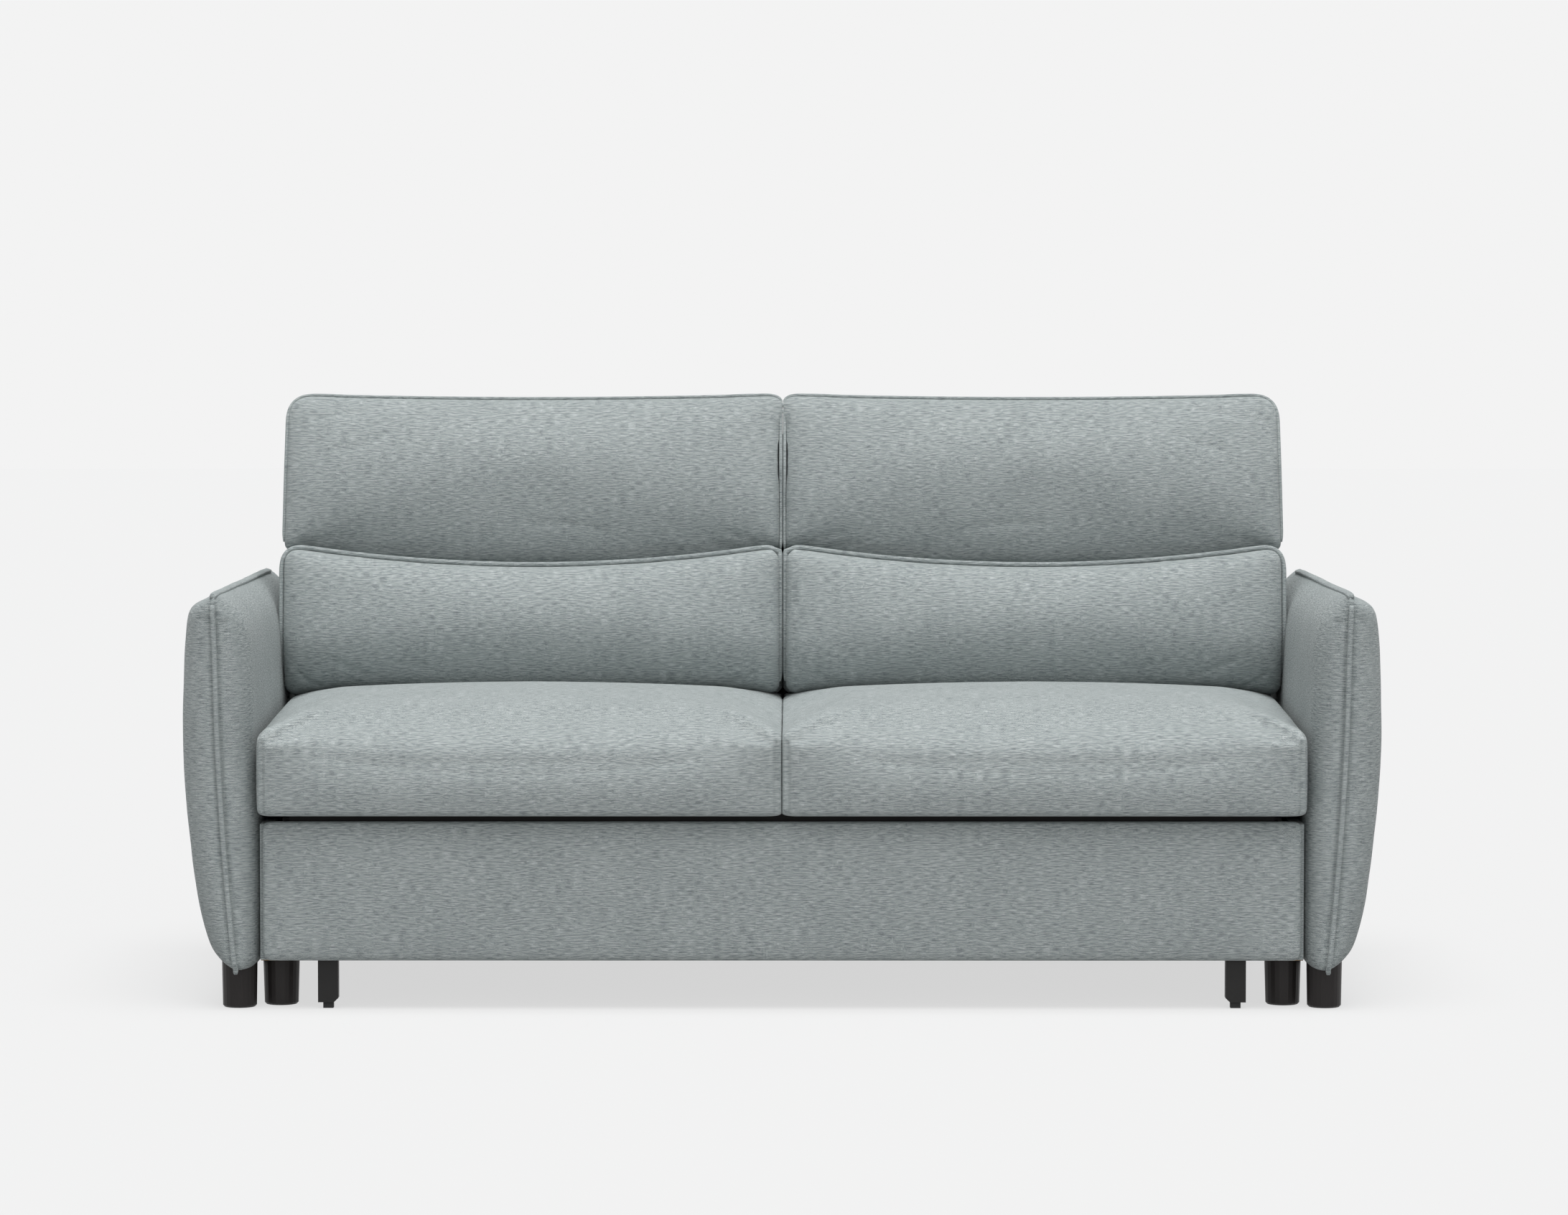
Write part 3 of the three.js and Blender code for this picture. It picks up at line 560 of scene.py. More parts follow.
def groove(piece, path, depth, width):
    """Presses a seam into the surface along a path."""
    mesh = piece.data
    points = coordinates(mesh)
    low = np.min(path, axis=0) - 4 * width
    high = np.max(path, axis=0) + 4 * width
    near = np.nonzero(((points > low) & (points < high)).all(axis=1))[0]
    gap = distance_to_path(points[near], path)
    push = depth * np.exp(-(gap / width) ** 2)
    points[near] -= normals(mesh)[near] * push[:, None]
    set_coordinates(mesh, points)


# Cushions

BACK_HINGE = Vector((0, 0.250, 0.2969))
BACK_ANGLE = math.radians(82)
SEAT_LOW, SEAT_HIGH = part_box("seat_cushion_right")
SEAT_OUTER = 0.8285
# The cushions are shaped a little past the middle of the sofa, then cut back to this split
OVERLAP = 3.0 * MM
SPLIT = 0.5 * MM
# Pins of the bed's support legs: y and z of the middle leg's, and the foot leg's along the back and out of it
SEAT_PIN = (0.174, 0.3219)
BACK_PIN = (0.538, 0.025)
# Room beside the middle for a leg's flat bar and for the ears and rubber tip of a folded leg
LEG_SIDE = 3.6 * MM
EAR_SIDE = 7.2 * MM
# Piping of the lumbar and the upper cushions
CORD = 4.2 * MM
THIN_CORD = 2.9 * MM


def back_place(x, v, w):
    """Across the sofa, along the reclined back and out of it."""
    turn = Matrix.Rotation(BACK_ANGLE, 4, "X")
    return Matrix.Translation(BACK_HINGE) @ turn @ Matrix.Translation((x, v, w))


def rise(share, power):
    """A quarter of a superellipse, from 0 to 1."""
    return (1 - (1 - share) ** power) ** (1 / power)


def crowned(form, seam_of, top_of, power):
    """Fills in a form's seam height and the height of its face."""
    half_w, half_h = form["width"] / 2, form["height"] / 2

    def seam(points):
        return seam_of(points[:, 0] / half_w, points[:, 1] / half_h)

    reach = min(half_w, half_h)

    def face(points, share):
        u, v = points[:, 0] / half_w, points[:, 1] / half_h
        low = seam(points)
        aside = np.maximum(half_w - np.abs(points[:, 0]), 1e-4)
        beyond = np.maximum(half_h - np.abs(points[:, 1]), 1e-4)
        # the smaller of the two distances from the edge, rounded off where they are equal
        eased = (aside ** -2.5 + beyond ** -2.5) ** -0.4 / reach
        fullness = power(u) if callable(power) else power
        return low + (top_of(u, v) - low) * rise(np.clip(np.minimum(share, eased), 0, 1), fullness)

    form["seam"] = seam
    form["face"] = face
    form["top"] = float(face(np.array([[0.0, 0.0]]), 0.96)[0])


def seat_form(side):
    width = SEAT_HIGH.x - 1.5 * MM + OVERLAP
    form = {"width": width, "height": SEAT_HIGH.y - SEAT_LOW.y, "corner": 17 * MM, "corner_steps": 5,
            "long_steps": 40, "short_steps": 34, "back_round": 5 * MM, "wall_steps": 7, "dip_top": 3 * MM}
    thick = SEAT_HIGH.z - SEAT_LOW.z - 7 * MM
    front_seam, side_rise, rear_rise = 0.086, 0.036, 0.022
    rear_fall, front_fall, side_fall = 0.012, 0.006, 0.002

    def seam_of(u, v):
        rear = np.clip((v + 1) / 2, 0, 1)
        return front_seam + side_rise * np.abs(u) ** 6 + rear_rise * rear

    def top_of(u, v):
        rear, front = np.clip(v, 0, 1), np.clip(-v, 0, 1)
        return thick - rear_fall * rear ** 2 - front_fall * front ** 3 - side_fall * u ** 2

    crowned(form, seam_of, top_of, lambda u: 2.35 + 0.75 * u ** 4)
    middle = (SEAT_LOW.y + SEAT_HIGH.y) / 2
    return form, Matrix.Translation((side * (width / 2 - OVERLAP), middle, SEAT_LOW.z))


def along_back(height):
    return (height - BACK_HINGE.z) / math.sin(BACK_ANGLE)


# Back cushions: where they lie along the back, how wide they are, and how far they stand out of it
BACK_FACE = 10.3 * MM
LUMBAR_HIGH = along_back(0.710) - 23 * MM
LUMBAR_LOW = along_back(0.495) + 2 * MM
UPPER_HIGH = along_back(0.958) - 14 * MM
UPPER_LOW = LUMBAR_HIGH + 2 * MM
LUMBAR_HALF_WIDTH = 0.8385
UPPER_HALF_WIDTH = 0.835
LUMBAR_TUCK = 42 * MM
LUMBAR_SAG = 31 * MM
LUMBAR_DEPTH = 0.222
UPPER_DEPTH = 0.192
FOOT_LEAN = math.radians(8)
# How far from the middle they may swell
BACK_OUTER = 0.8485


def back_form(side, half_width, low, high, seam_of, top_of, power, **shape):
    width = half_width + OVERLAP
    form = {"width": width, "height": high - low, "corner_steps": 8, "long_steps": 44, "dip_side": 1 * MM,
            "inner_side": -side, **shape}
    crowned(form, seam_of, top_of, power)
    return form, back_place(side * (width / 2 - OVERLAP), (low + high) / 2, BACK_FACE)


def lumbar_form(side):
    top_lean, foot_fall, side_fall = 0.013, 0.048, 0.010

    def seam_of(u, v):
        return LUMBAR_DEPTH * (0.74 - 0.28 * np.clip(-v, 0, 1) ** 2)

    def top_of(u, v):
        lean = top_lean * np.clip((v + 0.2) / 1.2, 0, 1) ** 1.6
        under = foot_fall * np.clip((-v - 0.2) / 0.8, 0, 1) ** 1.5
        return LUMBAR_DEPTH - 6 * MM - lean - under - side_fall * np.abs(u) ** 3

    return back_form(side, LUMBAR_HALF_WIDTH, LUMBAR_LOW - LUMBAR_TUCK, LUMBAR_HIGH, seam_of, top_of, 2.2,
                     corner=30 * MM, low_corner=24 * MM, inner_corner=24 * MM, short_steps=12,
                     back_round=8 * MM, wall_steps=8, dip_top=LUMBAR_SAG)


def upper_form(side):
    top_lean, side_fall = 0.042, 0.012

    def seam_of(u, v):
        return UPPER_DEPTH * (0.73 - 0.13 * np.clip(v, 0, 1) ** 1.4)

    def top_of(u, v):
        lean = top_lean * np.clip((v + 0.4) / 1.4, 0, 1) ** 1.4
        return UPPER_DEPTH - 5 * MM - lean - side_fall * np.abs(u) ** 3

    return back_form(side, UPPER_HALF_WIDTH, UPPER_LOW, UPPER_HIGH, seam_of, top_of, 2.1,
                     corner=36 * MM, low_corner=12 * MM, inner_corner=19 * MM, short_steps=16,
                     back_round=10 * MM, wall_steps=6, dip_top=7 * MM, dip_bottom=-LUMBAR_SAG)


def meeting_height(points, half_width):
    """Where the lumbar and upper cushions meet, along the back: lowest in the middle of each seat."""
    share = (np.abs(points[:, 0]) * 2 / half_width) - 1
    return LUMBAR_HIGH - LUMBAR_SAG * np.clip(1 - share ** 2, 0, 1)


def seam_path(form, place):
    """The seam between the wall and the face, closed, in the frame of the model."""
    wall = pad_outline(form, 0)
    return moved(at_height(wall, form["seam"](wall)), place)


def level_foot(local):
    """Turns a lumbar cushion's lower end so that it lies level on the seat (in the back's own frame)."""
    fade = np.clip((LUMBAR_HIGH - local[:, 1]) / (LUMBAR_HIGH - LUMBAR_LOW), 0, 1)
    local[:, 1] -= local[:, 2] * math.tan(FOOT_LEAN) * fade
    return local


def to_back(points):
    """Points of the model in the back's own frame: across, along the back and out of it."""
    turn = np.array(Matrix.Rotation(-BACK_ANGLE, 3, "X"))
    return (points - np.array(BACK_HINGE)) @ turn.T


def from_back(points):
    turn = np.array(Matrix.Rotation(BACK_ANGLE, 3, "X"))
    return points @ turn.T + np.array(BACK_HINGE)


def puff(piece, voxel, pressure, cap, pinned):
    """Remesh and cloth pressure, with the seam and whatever rests on something held."""
    remesh(piece, voxel, 4)
    inflate(piece, pressure, cap, pinned(coordinates(piece.data)))
    apply_modifier(piece, "SUBSURF", levels=1)


def near_seam(points, path):
    """Which points lie by a closed seam."""
    return distance_to_path(points, np.vstack([path, path[:1]])) < 5 * MM


def finish_piece(piece, node, body):
    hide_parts(node)
    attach(piece, body)


def crease(piece, places, depth, width, steps=8):
    """A pressed line through a few points, laid on the surface first."""
    line = smooth_path(surface_path(piece, curve_through(places, steps), 0), 1)
    groove(piece, line, depth, width)


def fold(piece, side, folds):
    for depth, width, places in folds:
        crease(piece, [(side * x, y, z) for x, y, z in places], depth, width)


def eased_step(share):
    share = np.clip(share, 0, 1)
    return share * share * (3 - 2 * share)


def leg_room(along, out):
    """How far a cushion stays from the middle, where a support leg lies folded, swings and stands.

    along runs from the leg's pin to its folded end, and out runs from the pin through the cushion.
    """
    swing_reach, folded_reach = 0.31, 0.346
    swing_out, folded_out = 0.11, 24 * MM
    standing = eased_step((45 * MM - np.abs(along)) / (25 * MM))
    least = SPLIT + (LEG_SIDE - SPLIT) * standing
    swings = (along > -30 * MM) & (along < swing_reach) & (out < swing_out)
    folded = (along > -40 * MM) & (along < folded_reach) & (out < folded_out)
    return np.where(folded, EAR_SIDE, np.where(swings, LEG_SIDE, least))


def back_leg_room(local):
    return leg_room(BACK_PIN[0] - local[:, 1], local[:, 2] - BACK_PIN[1])


def keep_apart(points, side, outer, room):
    """Holds a cushion between the middle of the sofa and its outer limit."""
    points[:, 0] = side * np.clip(side * points[:, 0], room, outer)


CORNER_SEAM_TOP = 0.424
# x and z of the crease across a seat's front
SEAT_SMILE = ((0.745, 0.404), (0.62, 0.387), (0.51, 0.3765), (0.40, 0.3745), (0.27, 0.383), (0.135, 0.398))


def make_seat(label, side):
    form, place = seat_form(side)
    piece = pad_piece(f"seat_cushion_cover_{label}", form, place, "fabric")
    path = seam_path(form, place)
    foot = SEAT_LOW.z + 20 * MM
    half_width = form["width"] / 2

    def pinned(points):
        beside = np.abs(np.abs(points[:, 0]) - half_width) > half_width - 30 * MM
        return ((points[:, 2] < foot) | (points[:, 1] > SEAT_HIGH.y - 24 * MM)
                | near_seam(points, path) & beside)

    puff(piece, 8 * MM, 3.0, 9 * MM, pinned)
    points = coordinates(piece.data)
    points[:, 1] = np.maximum(points[:, 1], SEAT_LOW.y - 3 * MM)
    room = leg_room(SEAT_PIN[0] - points[:, 1], points[:, 2] - SEAT_PIN[1])
    keep_apart(points, side, SEAT_OUTER, room)
    points[:, 2] = np.clip(points[:, 2], SEAT_LOW.z - 2 * MM, SEAT_HIGH.z + 2 * MM)
    set_coordinates(piece.data, points)
    split = [(0, y, SEAT_HIGH.z - 5 * MM) for y in (SEAT_LOW.y + 20 * MM, SEAT_HIGH.y)]
    groove(piece, spaced(split, 10 * MM), 5 * MM, 12 * MM)
    # seams up the front corners that turn in over the top, and a faint smile across the front
    front, top = SEAT_LOW.y, CORNER_SEAM_TOP
    for x, turn in ((7.5 * MM, 9 * MM), (SEAT_OUTER - 8.5 * MM, -9 * MM)):
        line = spaced([(side * x, front, SEAT_LOW.z + 3 * MM), (side * x, front, top)], 4 * MM)
        groove(piece, np.array(surface_path(piece, line, 0)), 5.0 * MM, 3.2 * MM)
        back = x + turn
        crease(piece, [(side * x, front, top), (side * (x + back) / 2, front + 4 * MM, top + 9 * MM),
                       (side * back, front + 14 * MM, top + 20 * MM)], 2.0 * MM, 3.0 * MM)
    crease(piece, [(side * x, front, z) for x, z in SEAT_SMILE], 0.8 * MM, 4.0 * MM, 12)
    finish_piece(piece, f"seat_cushion_{label}", "seat_section")
    return piece


def piped_part(path, form, share_from):
    """The stretch of a closed seam path above a share of the form's height from its middle."""
    high = pad_outline(form, 0)[:, 1] > form["height"] * share_from
    start = int(np.argmax(high & ~np.roll(high, 1)))
    return np.roll(path, -start, axis=0)[:np.count_nonzero(high)]


def pipe(name, piece, path, form, share_from, radius, proud):
    """A welt along the seam: it stands out of the valley between the wall and the face.

    Where two cushions meet, the cords of both stand straight and close together.
    """
    lift = proud * radius
    line = spaced(piped_part(path, form, share_from), 6 * MM)
    groove(piece, line, 0.6 * lift, 2.0 * radius)
    laid = smooth_path(surface_path(piece, line, lift), 4)
    aside = np.abs(laid[:, 0])
    least = radius + 0.3 * MM
    inner = (aside < 12 * MM) & (to_back(laid)[:, 1] < UPPER_HIGH - 34 * MM)
    laid[:, 0] = np.sign(laid[:, 0]) * np.where(inner, least, np.maximum(aside, least))
    # its inner end runs on into the gap between four cushions
    if abs(laid[0, 0]) < abs(laid[-1, 0]):
        laid = laid[::-1]
    laid = np.vstack([laid, laid[-1] + np.array([(0, 0, -6 * MM), (0, 0, -12 * MM)])])
    cord = tube(name, laid, radius, "fabric", 10)
    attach(cord, "back_section")


def inner_valley(piece, path):
    """Two back cushions roll in towards each other."""
    below_corner = to_back(path)[:, 1] < UPPER_HIGH - 50 * MM
    inner = (np.abs(path[:, 0]) < OVERLAP + 1 * MM) & below_corner
    groove(piece, path[inner], 6.5 * MM, 18 * MM)


def lower_corners(local):
    """Lets an upper cushion's lower corners hang down over the lumbar cushion's rounded ones."""
    aside = np.abs(local[:, 0])
    from_edge = np.minimum(aside + OVERLAP, LUMBAR_HALF_WIDTH - aside)
    round_off = 30 * MM
    short = round_off - np.clip(from_edge, 0, round_off)
    fall = np.minimum(round_off - np.sqrt(round_off ** 2 - short ** 2), 13 * MM)
    meeting = meeting_height(local, UPPER_HALF_WIDTH)
    hang = 11 * MM * eased_step(1 - from_edge / (36 * MM))
    hang = hang * eased_step(1 - (local[:, 1] - meeting) / (60 * MM))
    local[:, 1] = np.maximum(local[:, 1] - hang, meeting - fall + 1.5 * MM)
    return local


def rest_on(points, neighbour, clearance):
    """Lifts what hangs below the top of the piece it rests on."""
    tree = search_tree(neighbour)
    down = Vector((0, 0, -1))
    highest_foot, above = 0.53, 0.8
    for k in np.nonzero(points[:, 2] < highest_foot)[0]:
        place, _, _, _ = tree.ray_cast(Vector((points[k, 0], points[k, 1], above)), down)
        if place is not None:
            points[k, 2] = max(points[k, 2], place.z + clearance)
    return points


# Folds by the corners and the lower edges: depth, width and the points they run through on the right-hand side
LUMBAR_FOLDS = (
    (2.6 * MM, 8 * MM, ((0.685, 0.075, 0.484), (0.715, 0.07, 0.497), (0.752, 0.07, 0.519))),
    (2.4 * MM, 6 * MM, ((0.775, 0.10, 0.470), (0.792, 0.10, 0.482), (0.806, 0.10, 0.500))),
    (1.8 * MM, 8 * MM, ((0.585, 0.06, 0.490), (0.60, 0.055, 0.500), (0.635, 0.055, 0.508))),
    (2.6 * MM, 7 * MM, ((0.085, 0.09, 0.474), (0.065, 0.09, 0.487), (0.052, 0.10, 0.505))),
    (1.6 * MM, 7 * MM, ((0.12, 0.08, 0.482), (0.115, 0.07, 0.495), (0.125, 0.07, 0.510))),
    (1.2 * MM, 9 * MM, ((0.42, 0.055, 0.60), (0.424, 0.055, 0.63), (0.43, 0.06, 0.655))),
)
UPPER_FOLDS = (
    (1.6 * MM, 9 * MM, ((0.70, 0.20, 0.925), (0.74, 0.20, 0.915), (0.785, 0.20, 0.912))),
    (1.4 * MM, 9 * MM, ((0.66, 0.18, 0.885), (0.70, 0.175, 0.868), (0.74, 0.175, 0.86))),
    (2.2 * MM, 8 * MM, ((0.81, 0.17, 0.705), (0.785, 0.15, 0.718), (0.745, 0.14, 0.722))),
    (2.4 * MM, 7 * MM, ((0.03, 0.17, 0.705), (0.055, 0.15, 0.720), (0.095, 0.14, 0.732))),
    (1.6 * MM, 7 * MM, ((0.045, 0.17, 0.70), (0.085, 0.15, 0.708), (0.12, 0.14, 0.709))),
    (1.5 * MM, 9 * MM, ((0.30, 0.13, 0.735), (0.36, 0.125, 0.745), (0.43, 0.125, 0.748))),
)
LUMBAR_FOOT_HELD = 0.472


def make_lumbar(label, side, seat):
    form, place = lumbar_form(side)
    piece = pad_piece(f"lumbar_cushion_cover_{label}", form, place, "fabric")
    set_coordinates(piece.data, from_back(level_foot(to_back(coordinates(piece.data)))))
    path = from_back(level_foot(to_back(seam_path(form, place))))

    def pinned(points):
        behind = to_back(points)[:, 2] < 30 * MM
        return behind | (points[:, 2] < LUMBAR_FOOT_HELD) | near_seam(points, path)

    puff(piece, 7 * MM, 3.4, 12 * MM, pinned)
    local = to_back(coordinates(piece.data))
    local[:, 1] = np.minimum(local[:, 1], meeting_height(local, LUMBAR_HALF_WIDTH) + 0.5 * MM)
    points = from_back(local)
    # it stays clear of the arm's inner face, and may swell above it
    outer = np.interp(points[:, 2], (0.54, 0.63), (0.8365, BACK_OUTER))
    keep_apart(points, side, outer, back_leg_room(local))
    set_coordinates(piece.data, rest_on(points, seat, 0.5 * MM))
    inner_valley(piece, path)
    fold(piece, side, LUMBAR_FOLDS)
    pipe(f"lumbar_piping_{label}", piece, path, form, -0.36, CORD, 1.0)
    finish_piece(piece, f"lumbar_cushion_{label}", "back_section")


def make_upper(label, side):
    form, place = upper_form(side)
    piece = pad_piece(f"upper_cushion_cover_{label}", form, place, "fabric")
    path = seam_path(form, place)

    def pinned(points):
        local = to_back(points)
        low = local[:, 1] < UPPER_LOW - LUMBAR_SAG + 3 * MM
        return (local[:, 2] < 30 * MM) | low | near_seam(points, path)

    puff(piece, 7 * MM, 3.2, 12 * MM, pinned)
    local = lower_corners(to_back(coordinates(piece.data)))
    points = from_back(local)
    # its outer side leans out by 3 mm towards the foot
    spread = 3 * MM * (UPPER_HIGH - local[:, 1]) / (UPPER_HIGH - UPPER_LOW)
    lean_from, lean_over = 0.5, 0.34
    outer_part = np.clip(np.abs(points[:, 0]) - lean_from, 0, 1) / lean_over
    points[:, 0] += np.sign(points[:, 0]) * spread * outer_part
    keep_apart(points, side, BACK_OUTER, back_leg_room(local))
    set_coordinates(piece.data, points)
    inner_valley(piece, path)
    fold(piece, side, UPPER_FOLDS)
    pipe(f"upper_piping_{label}", piece, path, form, -0.488, THIN_CORD, 0.6)
    finish_piece(piece, f"upper_cushion_{label}", "back_section")


# Arms: a soft outer face, a flatter inner face and a rounded front, drawn to the seam down the front

ARM_FRONT = -0.465
ARM_REAR = 0.475
ARM_TOP = 0.655
ARM_LOW = 0.062
RIDGE_X = 0.888
RIDGE_END = 0.402
# z and x of the right arm's section, from its top down the outer face and up the inner one
ARM_SECTION = (
    (0.655, 0.888), (0.652, 0.900), (0.644, 0.920), (0.637, 0.932), (0.622, 0.940), (0.587, 0.9445),
    (0.540, 0.9474), (0.444, 0.9500), (0.396, 0.9495), (0.348, 0.9470), (0.300, 0.943), (0.252, 0.9375),
    (0.205, 0.9315), (0.157, 0.9235), (0.118, 0.914), (0.090, 0.9025), (0.071, 0.884), (0.064, 0.867),
    (0.062, 0.852), (0.063, 0.842), (0.068, 0.832), (0.085, 0.8265), (0.14, 0.8255), (0.28, 0.8255),
    (0.34, 0.829), (0.42, 0.835), (0.50, 0.8375), (0.55, 0.839), (0.585, 0.8425), (0.612, 0.850),
    (0.632, 0.862), (0.647, 0.877),
)
# z and x of the seam down its front
SPINE = ((0.655, 0.8950), (0.560, 0.8915), (0.430, 0.8880), (0.300, 0.8812), (0.170, 0.8715),
         (0.062, 0.8620))


def arm_profile():
    points = [(x, 0.0, z) for z, x in ARM_SECTION]
    closed = [*points, points[0]]
    return spaced(curve_through(closed, 6), 10 * MM)[:-1]


def spine_x(z):
    levels, places = zip(*reversed(SPINE))
    return np.interp(z, levels, places)


def arm_rings():
    """Where each ring stands along the arm, and how far it opens from the seam to the full profile."""
    rings = []
    front_depth, rear_depth, power = 84 * MM, 34 * MM, 2.3
    for t in np.linspace(0.02, 1, 18) ** 1.5:
        rings.append((ARM_FRONT + front_depth * t, rise(t, power)))
    for y in np.linspace(ARM_FRONT + front_depth, ARM_REAR - rear_depth, 42)[1:]:
        rings.append((y, 1.0))
    for t in (np.linspace(0.03, 1, 10) ** 1.4)[::-1][1:]:
        rings.append((ARM_REAR - rear_depth * t, rise(t, power)))
    return rings


def make_arm(label, side):
    profile = arm_profile()
    middle_z = (ARM_TOP + ARM_LOW) / 2
    spine = spine_x(profile[:, 2])
    end_shrink = 0.014
    points = []
    rings = arm_rings()
    for y, open_share in rings:
        x = spine + (profile[:, 0] - spine) * open_share
        end = (1 - open_share) ** 3
        z = middle_z + (profile[:, 2] - middle_z) * (1 - end_shrink * end)
        points.append(np.column_stack([side * x, np.full(len(x), y), z]))
    count = len(profile)
    faces = ring_faces(len(rings), count)
    for ring in (0, len(rings) - 1):
        faces.append(tuple(ring * count + k for k in range(count)))
    piece = mesh_object(f"arm_cover_{label}", np.vstack(points), faces, "fabric")
    remesh(piece, 4.6 * MM, 5)
    points = coordinates(piece.data)
    swell = wander(points, 0.16, 3 + side, 1.3 * MM) + wander(points, 0.05, 9 + side, 0.5 * MM)
    points += normals(piece.data) * swell[:, None]
    set_coordinates(piece.data, points)
    finish_piece(piece, f"arm_{label}", "base")
    return piece


def flange(name, path, width, height, facing):
    """A flat sewn strip along a path: a rounded bar that lies on the surface and faces one way."""
    path = [Vector(p) for p in path]
    facing = Vector(facing).normalized()
    points = []
    sides, squareness = 12, 0.45
    for k, place in enumerate(path):
        before, after = path[max(k - 1, 0)], path[min(k + 1, len(path) - 1)]
        along = (after - before).normalized()
        outward = (facing - along * facing.dot(along)).normalized()
        aside = along.cross(outward)
        end = min(k, len(path) - 1 - k)
        swell = (0.8, 1.05)[end] if end < 2 else 1.0
        for s in range(sides):
            angle = 2 * math.pi * s / sides
            c, d = math.cos(angle), math.sin(angle)
            flat = abs(c) ** squareness * math.copysign(1, c)
            tall = abs(d) ** squareness * math.copysign(1, d)
            points.append(place + aside * flat * width / 2 * swell + outward * tall * height * swell)
    strip = mesh_object(name, points, capped_faces(len(path), sides), "fabric")
    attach(strip, "base")


ARM_FOLDS = (
    (2.6 * MM, 2.8 * MM, ((0.881, ARM_FRONT, 0.611), (0.873, ARM_FRONT, 0.6135), (0.862, -0.460, 0.616))),
    (1.8 * MM, 4.0 * MM, ((0.893, ARM_FRONT, 0.625), (0.905, ARM_FRONT, 0.617), (0.918, -0.459, 0.615))),
)


def make_arm_trim(label, side, arm):
    front = curve_through([(side * x, ARM_FRONT, z) for z, x in SPINE], 24)
    front = spaced(front, 7 * MM)
    front = front[(front[:, 2] > 0.056) & (front[:, 2] < 0.647)]
    laid = smooth_path(surface_path(arm, front, 0.6 * MM), 3)
    # the strip's end hangs a little below the arm
    hung = np.vstack([laid, laid[-1] + np.array([(0, 1 * MM, -3 * MM), (0, 3 * MM, -6 * MM)])])
    flange(f"arm_front_piping_{label}", hung, 7.8 * MM, 5.0 * MM, (0, -1, 0))
    ridge = spaced([(side * (RIDGE_X + 6.5 * MM), ARM_FRONT + 3 * MM, ARM_TOP),
                    (side * (RIDGE_X - 1.5 * MM), RIDGE_END, ARM_TOP)], 8 * MM)
    ridge = smooth_path(surface_path(arm, ridge, 1.2 * MM), 3)
    flange(f"arm_ridge_piping_{label}", ridge, 11 * MM, 3.8 * MM, (-side * 0.35, 0, 1))
    # a valley on each side of the front strip, the deeper one towards the seats
    for k in (-1, 1):
        line = laid + np.array([k * 5.4 * MM, 0, 0])
        groove(arm, line, (5.2 if k * side < 0 else 4.4) * MM, 3.2 * MM)
    fold(arm, side, ARM_FOLDS)


# Panels


def flat_form(width, height, thick, edge, power, **shape):
    """A pad with the same seam height all round, an edge below its face."""
    form = {"width": width, "height": height, **shape}

    def seam_of(u, v):
        return np.full(len(u), thick - edge)

    def top_of(u, v):
        return np.full(len(u), thick)

    crowned(form, seam_of, top_of, power)
    return form


def make_panel(node, face, swell, corner):
    """A padded board: flat at the back, softly domed at the front. face is -1 for the front, 1 for the rear."""
    low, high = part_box(node)
    form = flat_form(high.x - low.x, high.z - low.z, high.y - low.y, swell, 2.6, corner=corner, corner_steps=5,
                     long_steps=60, short_steps=14, back_round=2.5 * MM, wall_steps=3)
    turn = Matrix.Rotation(math.pi / 2, 4, "X")
    if face > 0:
        turn = Matrix.Rotation(math.pi, 4, "Z") @ turn
    back_y = high.y if face < 0 else low.y
    place = Matrix.Translation(((low.x + high.x) / 2, back_y, (low.z + high.z) / 2)) @ turn
    piece = pad_piece(f"{node}_cover", form, place, "fabric")
    remesh(piece, 6 * MM, 3)
    points = coordinates(piece.data)
    ripple = wander(points, 0.22, 5, 1.0 * MM) + wander(points, 0.07, 6, 0.35 * MM)
    inside = (points[:, 0] > low.x + 20 * MM) & (points[:, 0] < high.x - 20 * MM)
    points[:, 1] += ripple * inside
    set_coordinates(piece.data, points)
    finish_piece(piece, node, "base")


# Mattress sections: quilted ticking with a tape edge

QUILT_PITCH = 0.118
MATTRESS_THICK = 0.0917
MATTRESS_EDGE = 12 * MM


def make_mattress(label, body, place, length):
    node = f"mattress_{label}"
    low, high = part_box(node)
    form = flat_form(high.x - low.x, length, MATTRESS_THICK, MATTRESS_EDGE, 2.4, corner=26 * MM, corner_steps=6,
                     long_steps=96, short_steps=44, back_round=7 * MM, wall_steps=5)
    piece = pad_piece(f"mattress_cover_{label}", form, Matrix.Identity(4), "ticking")
    remesh(piece, 7 * MM, 3)
    points = coordinates(piece.data)
    # quilting lines run both ways across the corners
    gaps = []
    for diagonal in (points[:, 0] + points[:, 1], points[:, 0] - points[:, 1]):
        share = np.abs((diagonal / QUILT_PITCH + 0.5) % 1 - 0.5)
        gaps.append(share * QUILT_PITCH * 0.707)
    near = np.minimum(*gaps)
    upper = np.clip((points[:, 2] - (MATTRESS_THICK - 6 * MM)) / (5 * MM), 0, 1)
    points[:, 2] -= 3.5 * MM * np.exp(-(near / (7 * MM)) ** 2) * upper
    set_coordinates(piece.data, moved(points, place))
    ring = seam_path(form, place)
    ring = spaced(np.vstack([ring, ring[:1]]), 9 * MM)[:-1]
    tape = tube(f"mattress_tape_{label}", ring, 2.0 * MM, "ticking", 6, closed=True)
    finish_piece(piece, node, body)
    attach(tape, body)


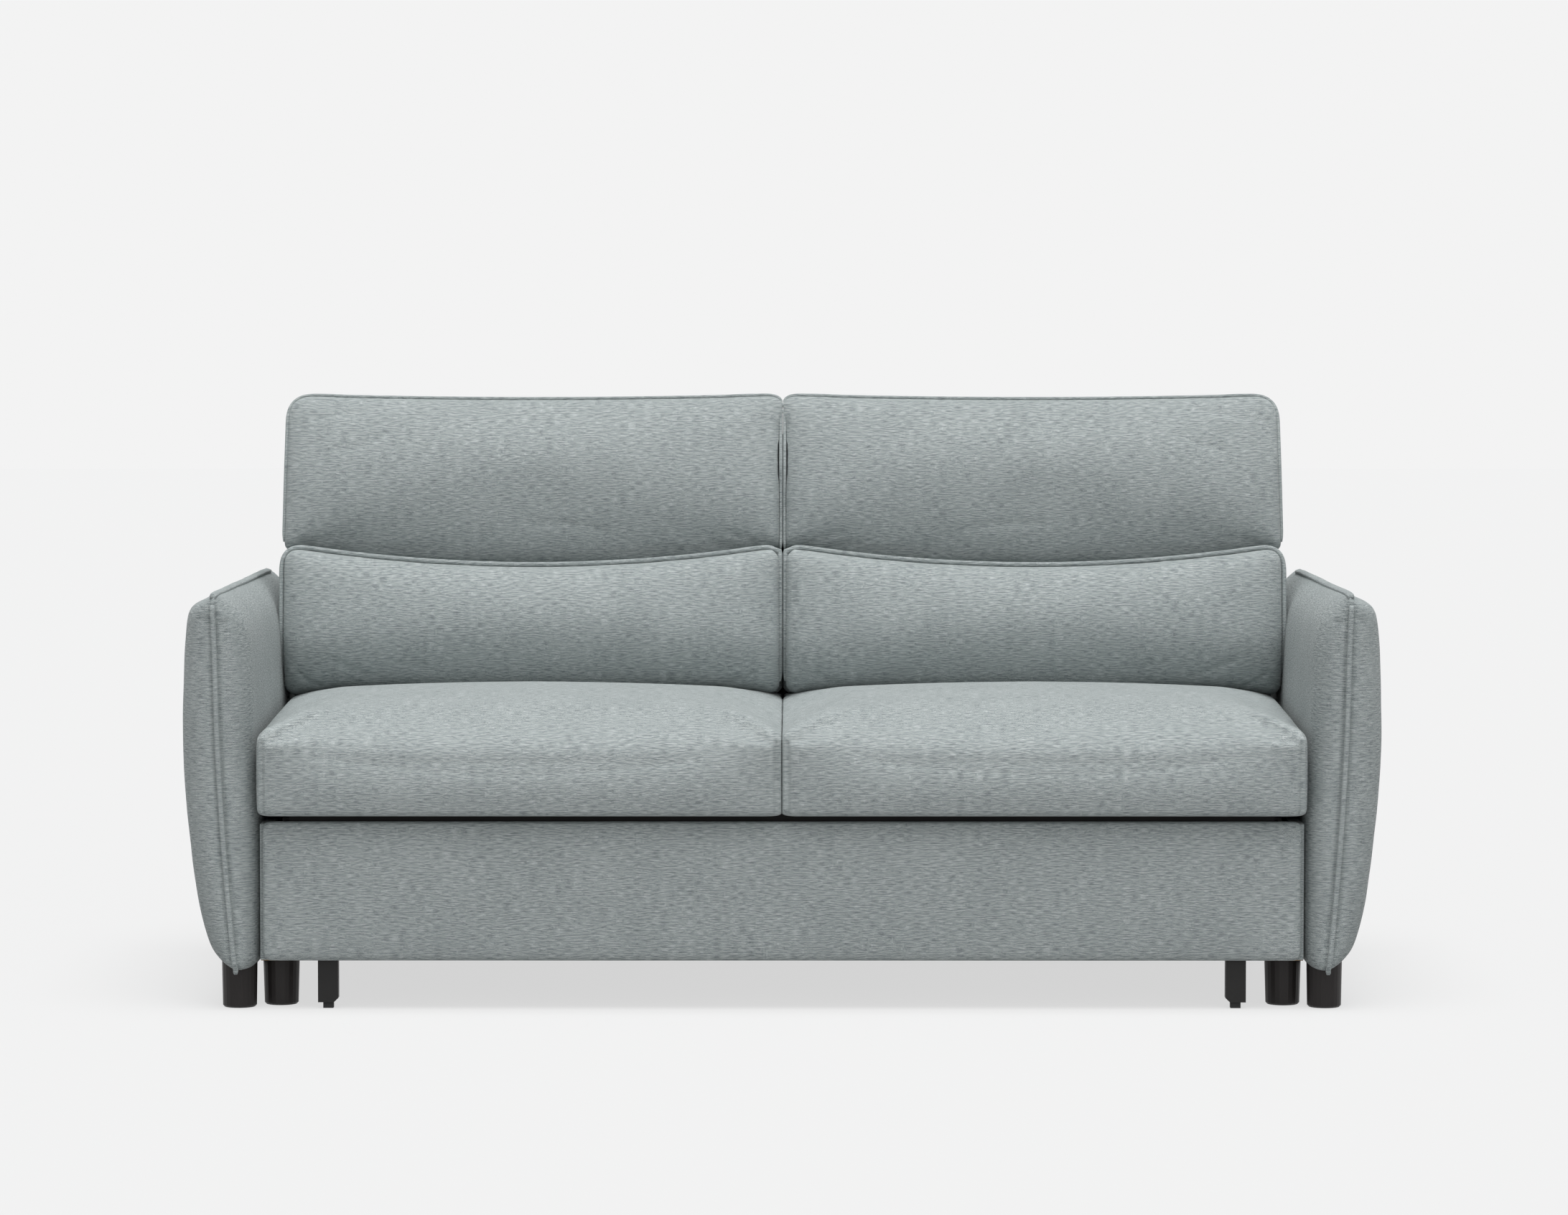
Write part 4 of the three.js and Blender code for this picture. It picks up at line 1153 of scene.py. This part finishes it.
def make_mattresses():
    """The head section lies face up; the other two are folded face down and back."""
    flip = Matrix.Rotation(math.pi, 4, "X")
    low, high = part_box("mattress_head")
    place = Matrix.Translation((0, (low.y + high.y) / 2, low.z))
    make_mattress("head", "head_section", place, high.y - low.y)
    low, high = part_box("mattress_middle")
    place = Matrix.Translation((0, (low.y + high.y) / 2, high.z)) @ flip
    make_mattress("middle", "seat_section", place, high.y - low.y)
    foot_middle, foot_length = 0.302, 0.596
    make_mattress("foot", "back_section", back_place(0, foot_middle, -BACK_FACE) @ flip, foot_length)


# CAD nodes that keep their own shape

# Part of a node's name and its material. All the others are steel.
FINISHES = {"leg_shoe": "wood", "arm_leg": "leg", "base_leg": "leg", "tip": "rubber", "rail": "fabric",
            "beam": "wood"}


def dress_nodes():
    for name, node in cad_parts.items():
        slot = next((value for key, value in FINISHES.items() if key in name), "steel")
        node.data.materials.clear()
        node.data.materials.append(MATERIALS[slot])


# Floor, backdrop and lights

PALE = (0.896, 0.896, 0.896, 1)
WORLD_LIGHT = 0.25
FLOOR_SHARE = 0.74
FLOOR_GLOW = 0.98
FLOOR_REACH = 30
FLOOR_DROP = 0.4 * MM


def camera_side(nodes):
    """1 for what the camera sees, straight, mirrored or through something, and 0 for light that bounces."""
    rays = nodes.add("ShaderNodeLightPath", {}).outputs
    seen = nodes.math("ADD", rays["Is Camera Ray"], rays["Is Glossy Ray"])
    return nodes.math("ADD", seen, rays["Is Transmission Ray"], clamp=True)


def glow(nodes, kind, colour, strength):
    return nodes.add(kind, {"Color": colour, "Strength": strength}).outputs[0]


def join(nodes, share, first, second, output):
    mix = nodes.add("ShaderNodeMixShader", {0: share, 1: first, 2: second})
    nodes.add(output, {"Surface": mix.outputs[0]})


def make_floor():
    """A wide pale floor that glows a little for the camera, so that it runs into the backdrop."""
    nodes = Nodes(bpy.data.materials.new("floor"))
    seen = camera_side(nodes)
    tint = nodes.mix(seen, (0.42, 0.42, 0.42, 1), (0.80, 0.80, 0.80, 1))
    diffuse = nodes.add("ShaderNodeBsdfDiffuse", {"Color": tint})
    share = nodes.math("MULTIPLY", seen, FLOOR_SHARE)
    lit = glow(nodes, "ShaderNodeEmission", PALE, FLOOR_GLOW)
    join(nodes, share, diffuse.outputs[0], lit, "ShaderNodeOutputMaterial")
    mesh = bpy.data.meshes.new("floor")
    corners = [(x * FLOOR_REACH, y * FLOOR_REACH, 0) for x, y in ((-1, -1), (1, -1), (1, 1), (-1, 1))]
    mesh.from_pydata(corners, [], [(0, 1, 2, 3)])
    mesh.materials.append(nodes.owner)
    floor = bpy.data.objects.new("floor", mesh)
    scene.collection.objects.link(floor)
    floor.location.z = -FLOOR_DROP


def make_world():
    """A weak pale light all round, and a paler backdrop for the camera."""
    nodes = Nodes(bpy.data.worlds.new("studio"))
    light = glow(nodes, "ShaderNodeBackground", (0.97, 0.99, 1.0, 1), WORLD_LIGHT)
    backdrop = glow(nodes, "ShaderNodeBackground", PALE, 1.0)
    join(nodes, camera_side(nodes), light, backdrop, "ShaderNodeOutputWorld")
    scene.world = nodes.owner


def make_sun(name, toward, strength, angle):
    data = bpy.data.lights.new(name, "SUN")
    data.energy = strength
    data.angle = math.radians(angle)
    lamp = bpy.data.objects.new(name, data)
    scene.collection.objects.link(lamp)
    lamp.rotation_euler = Vector(toward).to_track_quat("Z", "Y").to_euler()


make_camera()
make_floor()
make_world()
make_sun("key", toward=(0.03, -0.22, 0.975), strength=2.7, angle=50)
make_sun("fill", toward=(0.1, -0.95, 0.3), strength=0.62, angle=70)
scene.view_settings.view_transform = "Standard"

dress_nodes()
make_panel("front_panel", -1, 7 * MM, 10 * MM)
make_panel("rear_panel", 1, 6 * MM, 9 * MM)
make_mattresses()
for label, side in SIDES:
    seat = make_seat(label, side)
    make_lumbar(label, side, seat)
    make_upper(label, side)
    arm = make_arm(label, side)
    make_arm_trim(label, side, arm)
